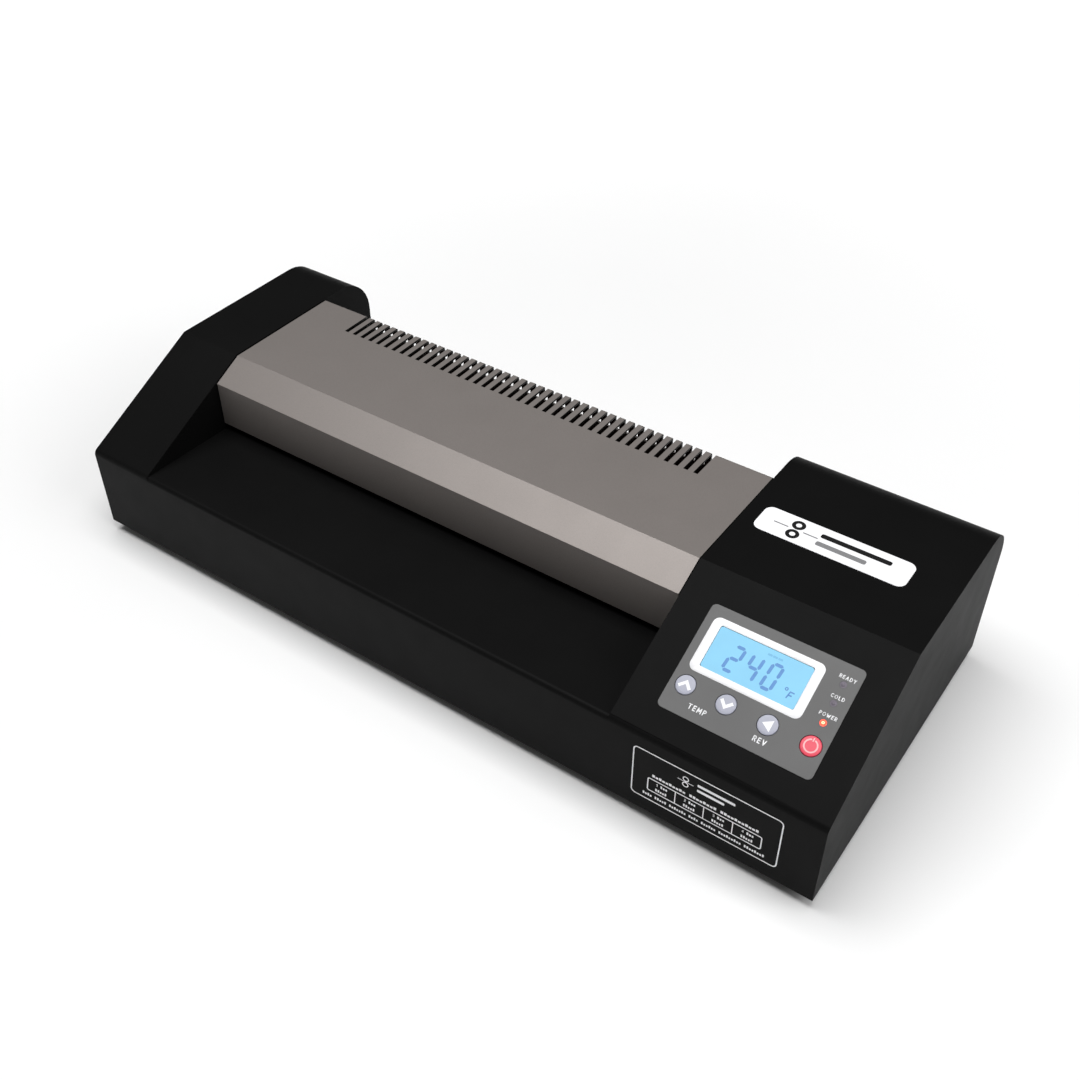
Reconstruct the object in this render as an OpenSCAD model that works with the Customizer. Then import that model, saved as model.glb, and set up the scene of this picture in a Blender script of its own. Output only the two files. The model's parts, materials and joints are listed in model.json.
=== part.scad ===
// Desktop pouch laminator with four rollers: a folded sheet casing with two side
// housings, a raised centre cover over the rollers, and a control panel on the right.
// +X runs to the right, +Y to the rear and +Z up. The floor is z = 0.

/* [Casing] */
// Width over the two housings
casing_w = 530; // [526:1:536]
// Depth from the front wall to the rear wall
casing_d = 222; // [221:1:226]
// Height of the edge where the front wall meets the slope
front_h = 66.5; // [66.2:0.1:67]
// Height of the flat top
top_h = 112.15; // [112:0.05:113]
// Angle of the sloping fronts of the housings
slope_angle = 26.64; // [26.5:0.02:27]
// Thickness of the folded sheet
sheet_t = 1.5; // [1.4:0.1:1.6]
// Radius of the large bend at the rear of the top
rear_r = 28; // [26:1:29]
// Radius of the bend at the top of the front wall
front_r = 4.5; // [4:0.5:5]
// Height of the rubber feet
foot_h = 8; // [8:0.1:8.4]

/* [Throat] */
// Width of the left housing
left_w = 49.8; // [49:0.1:50.2]
// Width of the right housing
right_w = 127; // [126.5:0.1:128]
// Fall of the feed tray towards the rollers, in degrees
tray_fall = 2; // [1.9:0.1:2.1]
// Height of the shelf where the pouches come out
shelf_h = 60; // [58:0.5:61]

/* [Cover] */
// Distance from the front wall to the front face of the cover
cover_setback = 70; // [69:0.5:71]
// Distance from the front wall to the rear face of the cover
cover_rear = 178.3; // [177:0.1:179]
// Gap between the cover and each housing
cover_gap = 0.8; // [0.6:0.1:1]
// Height of the lower edges of the cover
cover_edge_h = 69.4; // [69.2:0.1:70]
// Number of cooling slots
vent_count = 41; // [20:1:41]
// Spacing of the cooling slots
vent_pitch = 6.82; // [6:0.02:6.82]
// Width of a cooling slot
vent_w = 3; // [2:0.1:3]

/* [Rollers] */
// Diameter of a silicone sleeve
roller_d = 28.2; // [27.6:0.1:28.3]
// Length of a silicone sleeve
roller_len = 340; // [336:1:342]
// Gap between the two rollers of a pair
nip_gap = 0.4; // [0.3:0.05:0.5]
// Height of the pouch path between the rollers
nip_h = 65; // [64.8:0.1:65.2]
// Distance from the front wall to the hot rollers
hot_setback = 106.9; // [106.5:0.1:107.5]
// Distance between the hot pair and the pull pair
pair_pitch = 42; // [41.5:0.1:42.5]
// Diameter of the journals
journal_d = 10; // [9:0.5:10]

/* [Gears] */
// Gear module
gear_m = 1.5; // [1.48:0.01:1.5]
// Teeth on each roller gear
roller_teeth = 19; // [19:1:19]
// Teeth on the idler and on the motor pinion
small_teeth = 15; // [15:1:15]
// Width of the gear faces
gear_w = 8; // [6:0.5:8]

/* [Control panel] */
// Width of the grey overlay
overlay_w = 88.9; // [86:0.1:90]
// Length of the grey overlay along the slope
overlay_l = 63.8; // [60:0.2:64.4]
// Diameter of the round keys
key_d = 11; // [10:0.1:11.2]
// Spacing of the keys
key_pitch = 24; // [22:0.1:24.2]

/* [Hidden] */
$fn = 48;

// Outside planes. The label in front and the inlet flange behind are part of the depth.
label_t = 0.2;
flange_t = 2;
y_front = -(casing_d + label_t + flange_t) / 2 + label_t;
y_back = y_front + casing_d;
x_side = casing_w / 2;
case_z = foot_h;

// Walls of the throat, between the housings
throat_x0 = -x_side + left_w;
throat_x1 = x_side - right_w;
tray_r = 3;
shelf_r = 3;

// Cover
cover_x0 = throat_x0 + cover_gap;
cover_x1 = throat_x1 - cover_gap;
cover_y0 = y_front + cover_setback;
cover_y1 = y_front + cover_rear;
cover_drop = 0.5;
cover_r = 1.5;
cover_lip = 5;
vent_l = 23.3;
vent_drop = 10;
vent_x0 = (cover_x0 + cover_x1) / 2 - (vent_count - 1) / 2 * vent_pitch;
tab_w = 9;
tab_z0 = 84;
tab_ys = [cover_y0 + 7.9, cover_y1 - 10.4];
cover_screw_z = 92;

// Base plate and the lips that it is screwed to
base_t = 1.5;
base_gap = 0.6;
lip_z = case_z + base_t + 0.2;
lip_w = 10;
wall_z0 = lip_z + sheet_t + 0.5;
base_top = case_z + base_t;
foot_d = 22;
foot_x = x_side - 28;
foot_ys = [y_front + 20, y_back - 20];
lip_screw_x = x_side - 65;
lip_screw_inset = 7;

// Edges of the openings around the roller frame
tray_y1 = cover_y0 + 5.9;
shelf_y0 = cover_y1 - 3.4;
window_y = [cover_y0 + 3.9, cover_y1 - 3.4];
window_top_y = [cover_y0 + 14.9, cover_y1 - 16.4];
window_step_z = 72;
window_top_z = 105;

// Roller axes
roller_r = roller_d / 2;
axis_gap = roller_d + nip_gap;
y_hot = y_front + hot_setback;
y_pull = y_hot + pair_pitch;
z_low = nip_h - axis_gap / 2;
z_up = nip_h + axis_gap / 2;
roller_xc = (throat_x0 + throat_x1) / 2;
roller_x0 = roller_xc - roller_len / 2;
roller_x1 = roller_xc + roller_len / 2;
core_r = 10;
fit = 0.05;

// Side frames: inner and outer faces of the two plates
frame_t = 2;
left_frame_x = throat_x0 - 8.8;
right_frame_x = throat_x1 + 9;
frame_y = [y_hot - 23, y_pull + 15];
frame_top = z_up + 20.7;
frame_flange = 8;
bush_r = 7;
block_half_w = 7;
block_cheek_w = 10;
block_z = [-8, 9];
block_len = 10;
slot_gap = 0.2;
cap_t = 2;
stay_r = 4;
stay_points = [[y_hot - 17, 20], [y_pull + 9, 20], [y_hot + 22, z_up + 15.2]];

// Heater shoes, described around a roller axis
shoe_r0 = roller_r + 2.2;
shoe_r1 = 21;
shoe_angle = 120;
lug_angle = 50;
lug_r = 18.65;
lug_w = 6;
guide_hole_r = 1.6;
element_r = 3.25;
element_h = 22.7;
rib_top = 26.7;
rib_w = 11;

// Gears: all faces lie in one plane, outside the right frame
gear_x0 = right_frame_x + 5;
tip = 0.8 * gear_m;
root = 1.1 * gear_m;
backlash = 0.15;
pressure = 20;
spread = 0.1;
small_gap = (roller_teeth + small_teeth) * gear_m / 2 + spread;
y_idler = y_hot + pair_pitch / 2;
z_idler = z_low - sqrt(small_gap * small_gap - pair_pitch * pair_pitch / 4);
pinion_angle = -30;
y_pinion = y_pull + small_gap * cos(pinion_angle);
z_pinion = z_low + small_gap * sin(pinion_angle);
idler_dir = atan2(z_idler - z_low, y_idler - y_hot);
turn_upper_hot = mesh_turn(90, 0, roller_teeth, roller_teeth);
turn_idler = mesh_turn(idler_dir, 0, roller_teeth, small_teeth);
turn_lower_pull = mesh_turn(-idler_dir, turn_idler, small_teeth, roller_teeth);
turn_upper_pull = mesh_turn(90, turn_lower_pull, roller_teeth, roller_teeth);
turn_pinion = mesh_turn(pinion_angle, turn_lower_pull, roller_teeth, small_teeth);

// Gear motor
bracket_x = gear_x0 + 11.5;
gearbox_r = 18.5;
gearbox_len = 25;
can_r = 16;
can_len = 38;
shaft_r = 3;

// Panel, measured along x and up the slope
panel_x = throat_x1 + 63.8;
panel_s = 49.85;
overlay_t = 0.5;
overlay_r = 3;
bezel_w = 65;
bezel_l = 32.7;
bezel_t = 0.3;
bezel_r = 4;
lcd_w = 54.6;
lcd_l = 25.1;
lcd_x = panel_x - 7.1;
lcd_s = panel_s + 9.5;
key_s = panel_s - 15.65;
key_x0 = panel_x - 35.55;
key_hole_d = key_d + 0.6;
led_x = panel_x + 36.4;
led_s = [lcd_s - 11.6, lcd_s - 0.15, lcd_s + 10.9];
led_d = 3;
board_n = -7.5;
board_w = 92;
board_l = 70;
board_t = 1.6;
stud_x = board_w / 2 - 4;
stud_s = board_l / 2 - 4;

// Electrics in the right housing
power_x = [x_side - 93, x_side - 13];
power_y = [y_front + 14, y_front + 84];
power_z = base_top + 6.5;
inlet_x = x_side - 33;
inlet_z = 34;
badge_x = throat_x1 + 54.8;
badge_y = y_front + 141.7;
badge_size = [90.9, 21.9];
badge_t = 0.4;
label_x = throat_x1 + 60.85;
label_z = 37.5;
label_size = [88.2, 38.4];

// Angle of a meshing gear, so that a tooth meets a gap. The second gear lies in
// direction dir from the first one, which is turned by turn1.
function mesh_turn(dir, turn1, z1, z2) =
    dir + 180 - (0.5 - (dir - turn1) * z1 / 360) * 360 / z2;

// Involute function of a pressure angle, in degrees
function inv(a) = tan(a) * 180 / PI - a;

// Half the angle that a tooth fills at radius r
function half_tooth(r, teeth) =
    let (pr = teeth * gear_m / 2, rb = pr * cos(pressure))
    90 / teeth - backlash / pr * 90 / PI + inv(pressure) - inv(acos(min(1, rb / r)));

// Outline points of a gear with involute flanks
function gear_points(teeth) =
    let (
        pr = teeth * gear_m / 2,
        rb = pr * cos(pressure),
        r_start = max(rb, pr - root),
        flank = [for (k = [0:4]) r_start + (pr + tip - r_start) * k / 4],
        rise = [for (r = flank) [r, -half_tooth(r, teeth)]],
        fall = [for (k = [4:-1:0]) [flank[k], half_tooth(flank[k], teeth)]],
        foot = half_tooth(r_start, teeth) + 1,
        tooth = concat([[pr - root, -foot]], rise, fall, [[pr - root, foot]])
    )
    [for (i = [0:teeth - 1], p = tooth)
        let (a = p[1] + i * 360 / teeth) p[0] * [cos(a), sin(a)]];

// A point on the cubic curve with control points c, and its direction there
function curve(c, t) =
    pow(1 - t, 3) * c[0] + 3 * t * pow(1 - t, 2) * c[1]
    + 3 * t * t * (1 - t) * c[2] + t * t * t * c[3];
function curve_dir(c, t) =
    pow(1 - t, 2) * (c[1] - c[0]) + 2 * t * (1 - t) * (c[2] - c[1]) + t * t * (c[3] - c[2]);
function unit(v) = v / norm(v);

// ---- Helpers ----

// A plane outline in (y, z) as a prism from x0 to x1
module along_x(x0, x1) {
    translate([x0, 0, 0]) rotate([90, 0, 90]) linear_extrude(x1 - x0) children();
}

// A box between two corners
module block(low, high) {
    translate(low) cube(high - low);
}

// A round bar along X
module bar_x(x0, x1, y, z, r) {
    translate([x0, y, z]) rotate([0, 90, 0]) cylinder(h = x1 - x0, r = r);
}

module round_rect(w, h, r) {
    square([w - 2 * r, h], center = true);
    square([w, h - 2 * r], center = true);
    for (sx = [-1, 1], sy = [-1, 1])
        translate([sx * (w / 2 - r), sy * (h / 2 - r)]) circle(r = r);
}

// Places children on the slope: x as in the model, y up the slope, z outwards
module on_slope() {
    translate([0, y_front, front_h]) rotate([slope_angle, 0, 0]) children();
}

// A pan-head screw with its head above z = 0 and a crossed recess
module screw(d, length) {
    head_h = 0.6 * d;
    difference() {
        cylinder(h = head_h, r = d * 0.9);
        for (a = [0, 90]) rotate([0, 0, a])
            translate([-d * 0.5, -d * 0.1, head_h * 0.45]) cube([d, d * 0.2, d]);
    }
    translate([0, 0, -length]) cylinder(h = length, r = d / 2);
}

// Part of a ring centred on the upward direction
module ring_sector(r0, r1, angle) {
    reach = 2 * r1;
    difference() {
        intersection() {
            circle(r = r1);
            polygon(concat([[0, 0]],
                [for (a = [90 - angle / 2, 90, 90 + angle / 2]) reach * [cos(a), sin(a)]]));
        }
        circle(r = r0);
    }
}

// Places children at both side frames, pointing outwards along +Z
module at_frames(points) {
    for (p = points) {
        translate([left_frame_x, p[0], p[1]]) rotate([0, -90, 0]) children();
        translate([right_frame_x, p[0], p[1]]) rotate([0, 90, 0]) children();
    }
}

// ---- Casing and covers ----

// Side outline of a housing, i inside the outer skin, down to z0
module housing_outline(i, z0) {
    bend = [y_front + front_r, front_h - front_r * tan((90 - slope_angle) / 2)];
    rear = [y_back - rear_r, top_h - rear_r];
    break_y = y_front + (top_h - i - front_h + i / cos(slope_angle)) / tan(slope_angle);
    polygon([
        [y_front + i, z0],
        [y_front + i, bend[1]],
        bend + (front_r - i) * [-sin(slope_angle), cos(slope_angle)],
        [break_y, top_h - i],
        [rear[0], top_h - i],
        [y_back - i, rear[1]],
        [y_back - i, z0]
    ]);
    translate(bend) circle(r = front_r - i);
    translate(rear) circle(r = rear_r - i);
}

// Outline of the space under the feed tray, i inside the outer skin. The bend at the
// front is round outside and sharp inside.
module tray_outline(i, z0, y1) {
    corner = [y_front + i, front_h - i * tan(tray_fall) - i / cos(tray_fall)];
    bend = [y_front + tray_r, front_h - tray_r * tan((90 + tray_fall) / 2)];
    round_bend = [[y_front, bend[1]], bend + tray_r * [sin(tray_fall), cos(tray_fall)]];
    polygon(concat(
        [[y_front + i, z0]],
        i > 0 ? [corner] : round_bend,
        [[y1, corner[1] - (y1 - corner[0]) * tan(tray_fall)], [y1, z0]]
    ));
    if (i == 0) translate(bend) circle(r = tray_r);
}

// Outline of the space under the exit shelf, i inside the outer skin
module shelf_outline(i, z0, y0) {
    bend = [y_back - shelf_r, shelf_h - shelf_r];
    polygon([
        [y0, z0],
        [y0, shelf_h - i],
        [bend[0], shelf_h - i],
        [y_back - i, bend[1]],
        [y_back - i, z0]
    ]);
    translate(bend) circle(r = shelf_r - i);
}

module housing_shell(x0, x1) {
    difference() {
        along_x(x0, x1) housing_outline(0, case_z);
        along_x(x0 + sheet_t, x1 - sheet_t) housing_outline(sheet_t, case_z - 1);
    }
}

// The front wall and tray, and the exit shelf and rear wall, between the housings
module throat_shell() {
    overlap = sheet_t / 2;
    along_x(throat_x0 - overlap, throat_x1 + overlap) {
        difference() {
            tray_outline(0, case_z, tray_y1);
            tray_outline(sheet_t, case_z - 1, tray_y1 + 1);
        }
        difference() {
            shelf_outline(0, case_z, shelf_y0);
            shelf_outline(sheet_t, case_z - 1, shelf_y0 - 1);
        }
    }
}

// Cut-out of the throat walls: the roller frame reaches through them
module wall_window() {
    translate([window_y[0], wall_z0 - 1])
        square([window_y[1] - window_y[0], window_step_z - wall_z0 + 1]);
    translate([window_top_y[0], wall_z0])
        square([window_top_y[1] - window_top_y[0], window_top_z - wall_z0]);
    translate([y_front + sheet_t, case_z - 1])
        square([casing_d - 2 * sheet_t, wall_z0 - case_z + 1]);
}

// Holes of the panel: display, keys and lamps
module panel_cutouts(n0, n1) {
    depth = n1 - n0;
    translate([lcd_x, lcd_s, n0]) linear_extrude(depth) round_rect(lcd_w, lcd_l, 1.5);
    for (k = [0:3])
        translate([key_x0 + k * key_pitch, key_s, n0]) cylinder(h = depth, d = key_hole_d);
    for (s = led_s) translate([led_x, s, n0]) cylinder(h = depth, d = led_d + 0.8);
}

// Positions of the screws that hold the base plate to the lips
module at_lip_screws() {
    for (x = [-lip_screw_x, 0, lip_screw_x],
         y = [y_front + lip_screw_inset, y_back - lip_screw_inset])
        translate([x, y, case_z]) children();
}

module outer_casing() color([0.09, 0.09, 0.09]) {
    difference() {
        union() {
            difference() {
                union() {
                    housing_shell(-x_side, throat_x0);
                    housing_shell(throat_x1, x_side);
                    throat_shell();
                }
                along_x(throat_x0 - sheet_t - 0.1, throat_x0 + 0.1) wall_window();
                along_x(throat_x1 - 0.1, throat_x1 + sheet_t + 0.1) wall_window();
            }
            difference() {
                block([-x_side + 1, y_front + 1, lip_z], [x_side - 1, y_back - 1, lip_z + sheet_t]);
                block([-x_side + sheet_t + lip_w, y_front + sheet_t + lip_w, lip_z - 1],
                      [x_side - sheet_t - lip_w, y_back - sheet_t - lip_w, lip_z + 5]);
            }
        }
        on_slope() panel_cutouts(-5, 5);
        at_lip_screws() cylinder(h = 8, r = 1.6);
        for (x = [throat_x0, throat_x1], y = tab_ys)
            bar_x(x - 2, x + 2, y, cover_screw_z, 1.6);
        translate([inlet_x, y_back, inlet_z]) cube([27.6, 10, 20.6], center = true);
        for (sx = [-1, 1]) translate([inlet_x + sx * 20, y_back, inlet_z])
            rotate([90, 0, 0]) cylinder(h = 10, r = 1.6, center = true);
        for (k = [0:7]) translate([throat_x1 + 10 + 6 * k, y_back - 5, 24]) cube([3, 10, 26]);
    }
    on_slope() for (sx = [-1, 1], ss = [-1, 1])
        translate([panel_x + sx * stud_x, panel_s + ss * stud_s, board_n])
            cylinder(h = -board_n - sheet_t + 0.3, r = 2.5);
}

// Side outline of the cover, i inside its skin
module cover_outline(i, z0) {
    inset = cover_drop + i;
    slope_in = inset / cos(slope_angle);
    z_top = top_h - inset;
    break_y = y_front + (z_top - front_h + slope_in) / tan(slope_angle);
    knee_y = cover_y0 + i;
    bend = [cover_y1 - cover_r, top_h - cover_drop - cover_r];
    polygon([
        [knee_y, z0],
        [knee_y, front_h + (knee_y - y_front) * tan(slope_angle) - slope_in],
        [break_y, z_top],
        [min(bend[0], cover_y1 - i), z_top],
        [cover_y1 - i, min(bend[1], z_top)],
        [cover_y1 - i, z0]
    ]);
    if (i < cover_r) translate(bend) circle(r = cover_r - i);
}

module top_cover() color([0.48, 0.46, 0.44]) {
    difference() {
        union() {
            along_x(cover_x0, cover_x1) difference() {
                cover_outline(0, cover_edge_h);
                cover_outline(sheet_t, cover_edge_h - 1);
            }
            for (x = [cover_x0, cover_x1 - sheet_t]) {
                along_x(x, x + sheet_t) difference() {
                    cover_outline(0.4, cover_edge_h);
                    cover_outline(cover_lip, cover_edge_h - 1);
                }
                for (y = tab_ys)
                    block([x, y - tab_w / 2, tab_z0], [x + sheet_t, y + tab_w / 2, cover_screw_z + 8]);
            }
            for (x = [cover_x0, cover_x1 - sheet_t], y = tab_ys)
                along_x(x, x + sheet_t) intersection() {
                    cover_outline(0.4, cover_edge_h);
                    translate([y - tab_w / 2, cover_screw_z]) square([tab_w, 30]);
                }
        }
        for (k = [0:vent_count - 1])
            translate([vent_x0 + k * vent_pitch - vent_w / 2, cover_y1 - vent_l,
                       top_h - cover_drop - vent_drop])
                cube([vent_w, vent_l + 1, vent_drop + 1]);
        for (x = [cover_x0, cover_x1], y = tab_ys)
            bar_x(x - 3, x + 3, y, cover_screw_z, 1.25);
    }
}

module cover_screws() color("dimgray") {
    for (y = tab_ys) {
        translate([throat_x0 - sheet_t, y, cover_screw_z]) rotate([0, -90, 0]) screw(2.5, 6);
        translate([throat_x1 + sheet_t, y, cover_screw_z]) rotate([0, 90, 0]) screw(2.5, 6);
    }
}

module base_plate() color([0.12, 0.12, 0.12]) {
    inset = sheet_t + base_gap;
    difference() {
        union() {
            block([-x_side + inset, y_front + inset, case_z],
                  [x_side - inset, y_back - inset, base_top]);
            for (x = [power_x[0] + 5, power_x[1] - 5], y = [power_y[0] + 5, power_y[1] - 5])
                translate([x, y, case_z]) cylinder(h = power_z - case_z, r = 3);
        }
        for (k = [0:17]) translate([roller_x0 + 10 + 19 * k, y_hot - 25, case_z - 1])
            cube([5, 90, 5]);
        at_lip_screws() cylinder(h = 8, r = 1.8, center = true);
        for (x = [-foot_x, foot_x], y = foot_ys)
            translate([x, y, case_z]) cylinder(h = 8, r = 2.1, center = true);
        at_frame_feet() cylinder(h = 8, r = 1.8, center = true);
        at_bracket_feet() cylinder(h = 8, r = 1.8, center = true);
    }
}

module at_frame_feet() {
    for (x = [left_frame_x - 8, right_frame_x + 8], y = [frame_y[0] + 8, frame_y[1] - 8])
        translate([x, y, case_z]) children();
}

module at_bracket_feet() {
    for (y = [y_pinion - 14, y_pinion + 14]) translate([bracket_x + 10, y, case_z]) children();
}

module base_screws() color("dimgray") {
    at_lip_screws() rotate([180, 0, 0]) screw(3, 5);
    at_frame_feet() rotate([180, 0, 0]) screw(3, 5);
    at_bracket_feet() rotate([180, 0, 0]) screw(3, 5);
}

module rubber_feet() color([0.06, 0.06, 0.06]) {
    for (x = [-foot_x, foot_x], y = foot_ys) translate([x, y, 0]) rotate_extrude()
        polygon([[5, 0], [foot_d / 2 - 2, 0], [foot_d / 2, 2], [foot_d / 2, foot_h],
                 [2.2, foot_h], [2.2, 4.5], [5, 4.5]]);
}

module foot_screws() color("silver") {
    for (x = [-foot_x, foot_x], y = foot_ys)
        translate([x, y, 4.5]) rotate([180, 0, 0]) screw(4, 9);
}

// ---- Roller frame ----

// Side frame plate between x0 and x1, with its flanges turned to side = -1 or 1
module side_frame(x0, side) {
    x1 = x0 + frame_t;
    outer = side < 0 ? x0 : x1;
    flange = [min(outer, outer + side * frame_flange * 2), max(outer, outer + side * frame_flange * 2)];
    tab = [min(outer, outer + side * frame_flange), max(outer, outer + side * frame_flange)];
    slot_half = block_half_w + slot_gap;
    difference() {
        union() {
            block([x0, frame_y[0], base_top], [x1, frame_y[1], frame_top]);
            block([flange[0], frame_y[0], base_top], [flange[1], frame_y[1], base_top + frame_t]);
            block([tab[0], frame_y[0], frame_top - frame_t], [tab[1], frame_y[1], frame_top]);
        }
        for (y = [y_hot, y_pull]) {
            bar_x(x0 - 1, x1 + 1, y, z_low, bush_r);
            block([x0 - 20, y - slot_half, z_up + block_z[0] - 0.1],
                  [x1 + 20, y + slot_half, frame_top + 1]);
            block([outer + (side < 0 ? -20 : 0.1), y - block_cheek_w - 1, frame_top - 5],
                  [outer + (side < 0 ? -0.1 : 20), y + block_cheek_w + 1, frame_top + 1]);
        }
        at_frames(concat(stay_points, shoe_points(), guide_points()))
            cylinder(h = 20, r = 1.6, center = true);
        at_frame_feet() cylinder(h = 12, r = 1.6, center = true);
        if (side > 0) bar_x(x0 - 1, x1 + 1, y_idler, z_idler, shaft_r);
    }
}

module left_side_frame() color([0.72, 0.73, 0.75])
    side_frame(left_frame_x, -1);

module right_side_frame() color([0.72, 0.73, 0.75])
    side_frame(right_frame_x - frame_t, 1);

module frame_stays() color([0.62, 0.63, 0.65]) {
    for (p = stay_points) difference() {
        bar_x(left_frame_x + frame_t, right_frame_x - frame_t, p[0], p[1], stay_r);
        for (x = [left_frame_x, right_frame_x]) bar_x(x - 9, x + 9, p[0], p[1], 1.6);
    }
}

// Screws through both side frames: into the stays, the heater shoes and the guides
function shoe_points() = [
    for (sy = [-1, 1], sz = [-1, 1])
        [y_hot + sy * lug_r * sin(lug_angle), (sz > 0 ? z_up : z_low) + sz * lug_r * cos(lug_angle)]
];
function guide_points() = [[y_hot - 18, nip_h], [y_hot + pair_pitch / 2, nip_h], [y_pull + 13, nip_h]];

module frame_screws() color("silver") {
    at_frames(concat(stay_points, shoe_points(), guide_points())) screw(3, 7);
}

module spring_caps() color([0.66, 0.67, 0.69]) {
    for (x = [left_frame_x - frame_flange, right_frame_x - frame_t - 5])
        block([x, frame_y[0], frame_top],
              [x + frame_flange + frame_t + 5, frame_y[1], frame_top + cap_t]);
}

module lower_bushes() color([0.72, 0.52, 0.3]) {
    for (y = [y_hot, y_pull]) {
        bush(left_frame_x + frame_t, y, -1);
        bush(right_frame_x - frame_t, y, 1);
    }
}

// Flanged bush: the flange lies against the inner face of its frame, at x
module bush(x, y, side) {
    flange = [min(x, x - side * 1.5), max(x, x - side * 1.5)];
    sleeve = [min(x - side, x + side * 5), max(x - side, x + side * 5)];
    difference() {
        union() {
            bar_x(flange[0], flange[1], y, z_low, bush_r + 2);
            bar_x(sleeve[0], sleeve[1], y, z_low, bush_r);
        }
        bar_x(x - 20, x + 20, y, z_low, journal_d / 2 + fit);
    }
}

// Sliding bearing block with cheeks on both faces of a frame plate centred on x
module bearing_block(x, y) {
    cheek = frame_t / 2 + 0.3;
    half = block_len / 2;
    difference() {
        union() {
            block([x - half, y - block_half_w, z_up + block_z[0]],
                  [x + half, y + block_half_w, z_up + block_z[1]]);
            for (s = [-1, 1])
                block([x + min(s * cheek, s * (cheek + 1.7)), y - block_cheek_w, z_up + block_z[0]],
                      [x + max(s * cheek, s * (cheek + 1.7)), y + block_cheek_w, z_up + block_z[1]]);
        }
        bar_x(x - 20, x + 20, y, z_up, journal_d / 2 + fit);
    }
}

module bearing_pair(y) {
    bearing_block(left_frame_x + frame_t / 2, y);
    bearing_block(right_frame_x - frame_t / 2, y);
}

module upper_hot_blocks() color([0.85, 0.83, 0.76])
    bearing_pair(y_hot);

module upper_pull_blocks() color([0.85, 0.83, 0.76])
    bearing_pair(y_pull);

// Compression spring as a round wire swept along a helix
module coil_spring(r, wire_r, length, turns) {
    steps = 12;
    sides = 6;
    count = turns * steps;
    rise = length - 2 * wire_r;
    points = [for (i = [0:count], j = [0:sides - 1])
        let (a = i * 360 / steps, b = j * 360 / sides, rr = r + wire_r * cos(b))
        [rr * cos(a), rr * sin(a), wire_r + rise * i / count + wire_r * sin(b)]];
    sides_faces = [for (i = [0:count - 1], j = [0:sides - 1])
        let (k = (j + 1) % sides)
        [i * sides + j, i * sides + k, (i + 1) * sides + k, (i + 1) * sides + j]];
    ends = [[for (j = [sides - 1:-1:0]) j], [for (j = [0:sides - 1]) count * sides + j]];
    polyhedron(points, concat(sides_faces, ends), convexity = 6);
}

module spring_pair(y) {
    z0 = z_up + block_z[1];
    for (x = [left_frame_x + frame_t / 2, right_frame_x - frame_t / 2])
        translate([x, y, z0]) coil_spring(3.8, 0.6, frame_top - z0, 5);
}

module hot_pressure_springs() color("silver")
    spring_pair(y_hot);

module pull_pressure_springs() color("silver")
    spring_pair(y_pull);

// ---- Rollers and gears ----

// Steel core: a body under the sleeve, two journals and a seat for the gear
module roller_core(y, z) {
    bar_x(roller_x0, roller_x1, y, z, core_r);
    bar_x(left_frame_x - 5, roller_x0 + 1, y, z, journal_d / 2);
    bar_x(roller_x1 - 1, gear_x0 - 1.5, y, z, journal_d / 2);
    bar_x(gear_x0 - 2, gear_x0 + gear_w + 2, y, z, 4);
}

module roller_sleeve(y, z) {
    difference() {
        bar_x(roller_x0, roller_x1, y, z, roller_r);
        bar_x(roller_x0 - 1, roller_x1 + 1, y, z, core_r);
    }
}

// Spur gear with its bore and six lightening holes, at axis (y, z)
module spur_gear(y, z, teeth, turn, bore_r) {
    pr = teeth * gear_m / 2;
    translate([gear_x0, y, z]) rotate([90, 0, 90]) rotate([0, 0, turn]) linear_extrude(gear_w)
        difference() {
            polygon(gear_points(teeth));
            circle(r = bore_r);
            if (teeth > 16) for (a = [0:60:300]) rotate(a) translate([pr * 0.58, 0]) circle(r = 2);
        }
}

module lower_hot_core() color([0.7, 0.71, 0.73])
    roller_core(y_hot, z_low);

module upper_hot_core() color([0.7, 0.71, 0.73])
    roller_core(y_hot, z_up);

module lower_pull_core() color([0.7, 0.71, 0.73])
    roller_core(y_pull, z_low);

module upper_pull_core() color([0.7, 0.71, 0.73])
    roller_core(y_pull, z_up);

module lower_hot_sleeve() color([0.72, 0.3, 0.2])
    roller_sleeve(y_hot, z_low);

module upper_hot_sleeve() color([0.72, 0.3, 0.2])
    roller_sleeve(y_hot, z_up);

module lower_pull_sleeve() color([0.72, 0.3, 0.2])
    roller_sleeve(y_pull, z_low);

module upper_pull_sleeve() color([0.72, 0.3, 0.2])
    roller_sleeve(y_pull, z_up);

module lower_hot_gear() color([0.2, 0.2, 0.22])
    spur_gear(y_hot, z_low, roller_teeth, 0, 4);

module upper_hot_gear() color([0.2, 0.2, 0.22])
    spur_gear(y_hot, z_up, roller_teeth, turn_upper_hot, 4);

module lower_pull_gear() color([0.2, 0.2, 0.22])
    spur_gear(y_pull, z_low, roller_teeth, turn_lower_pull, 4);

module upper_pull_gear() color([0.2, 0.2, 0.22])
    spur_gear(y_pull, z_up, roller_teeth, turn_upper_pull, 4);

module idler_gear() color([0.85, 0.85, 0.8])
    spur_gear(y_idler, z_idler, small_teeth, turn_idler, shaft_r + fit);

module idler_stud() color("silver") {
    bar_x(right_frame_x - frame_t, gear_x0 + gear_w + 2.5, y_idler, z_idler, shaft_r);
    bar_x(right_frame_x, gear_x0 - 0.6, y_idler, z_idler, 4.2);
    bar_x(gear_x0 + gear_w + 0.6, gear_x0 + gear_w + 1.6, y_idler, z_idler, 4.2);
}

module motor_pinion() color([0.78, 0.66, 0.35])
    spur_gear(y_pinion, z_pinion, small_teeth, turn_pinion, shaft_r);

module motor_shaft() color("silver")
    bar_x(gear_x0 - 1, bracket_x + 4, y_pinion, z_pinion, shaft_r);

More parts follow.
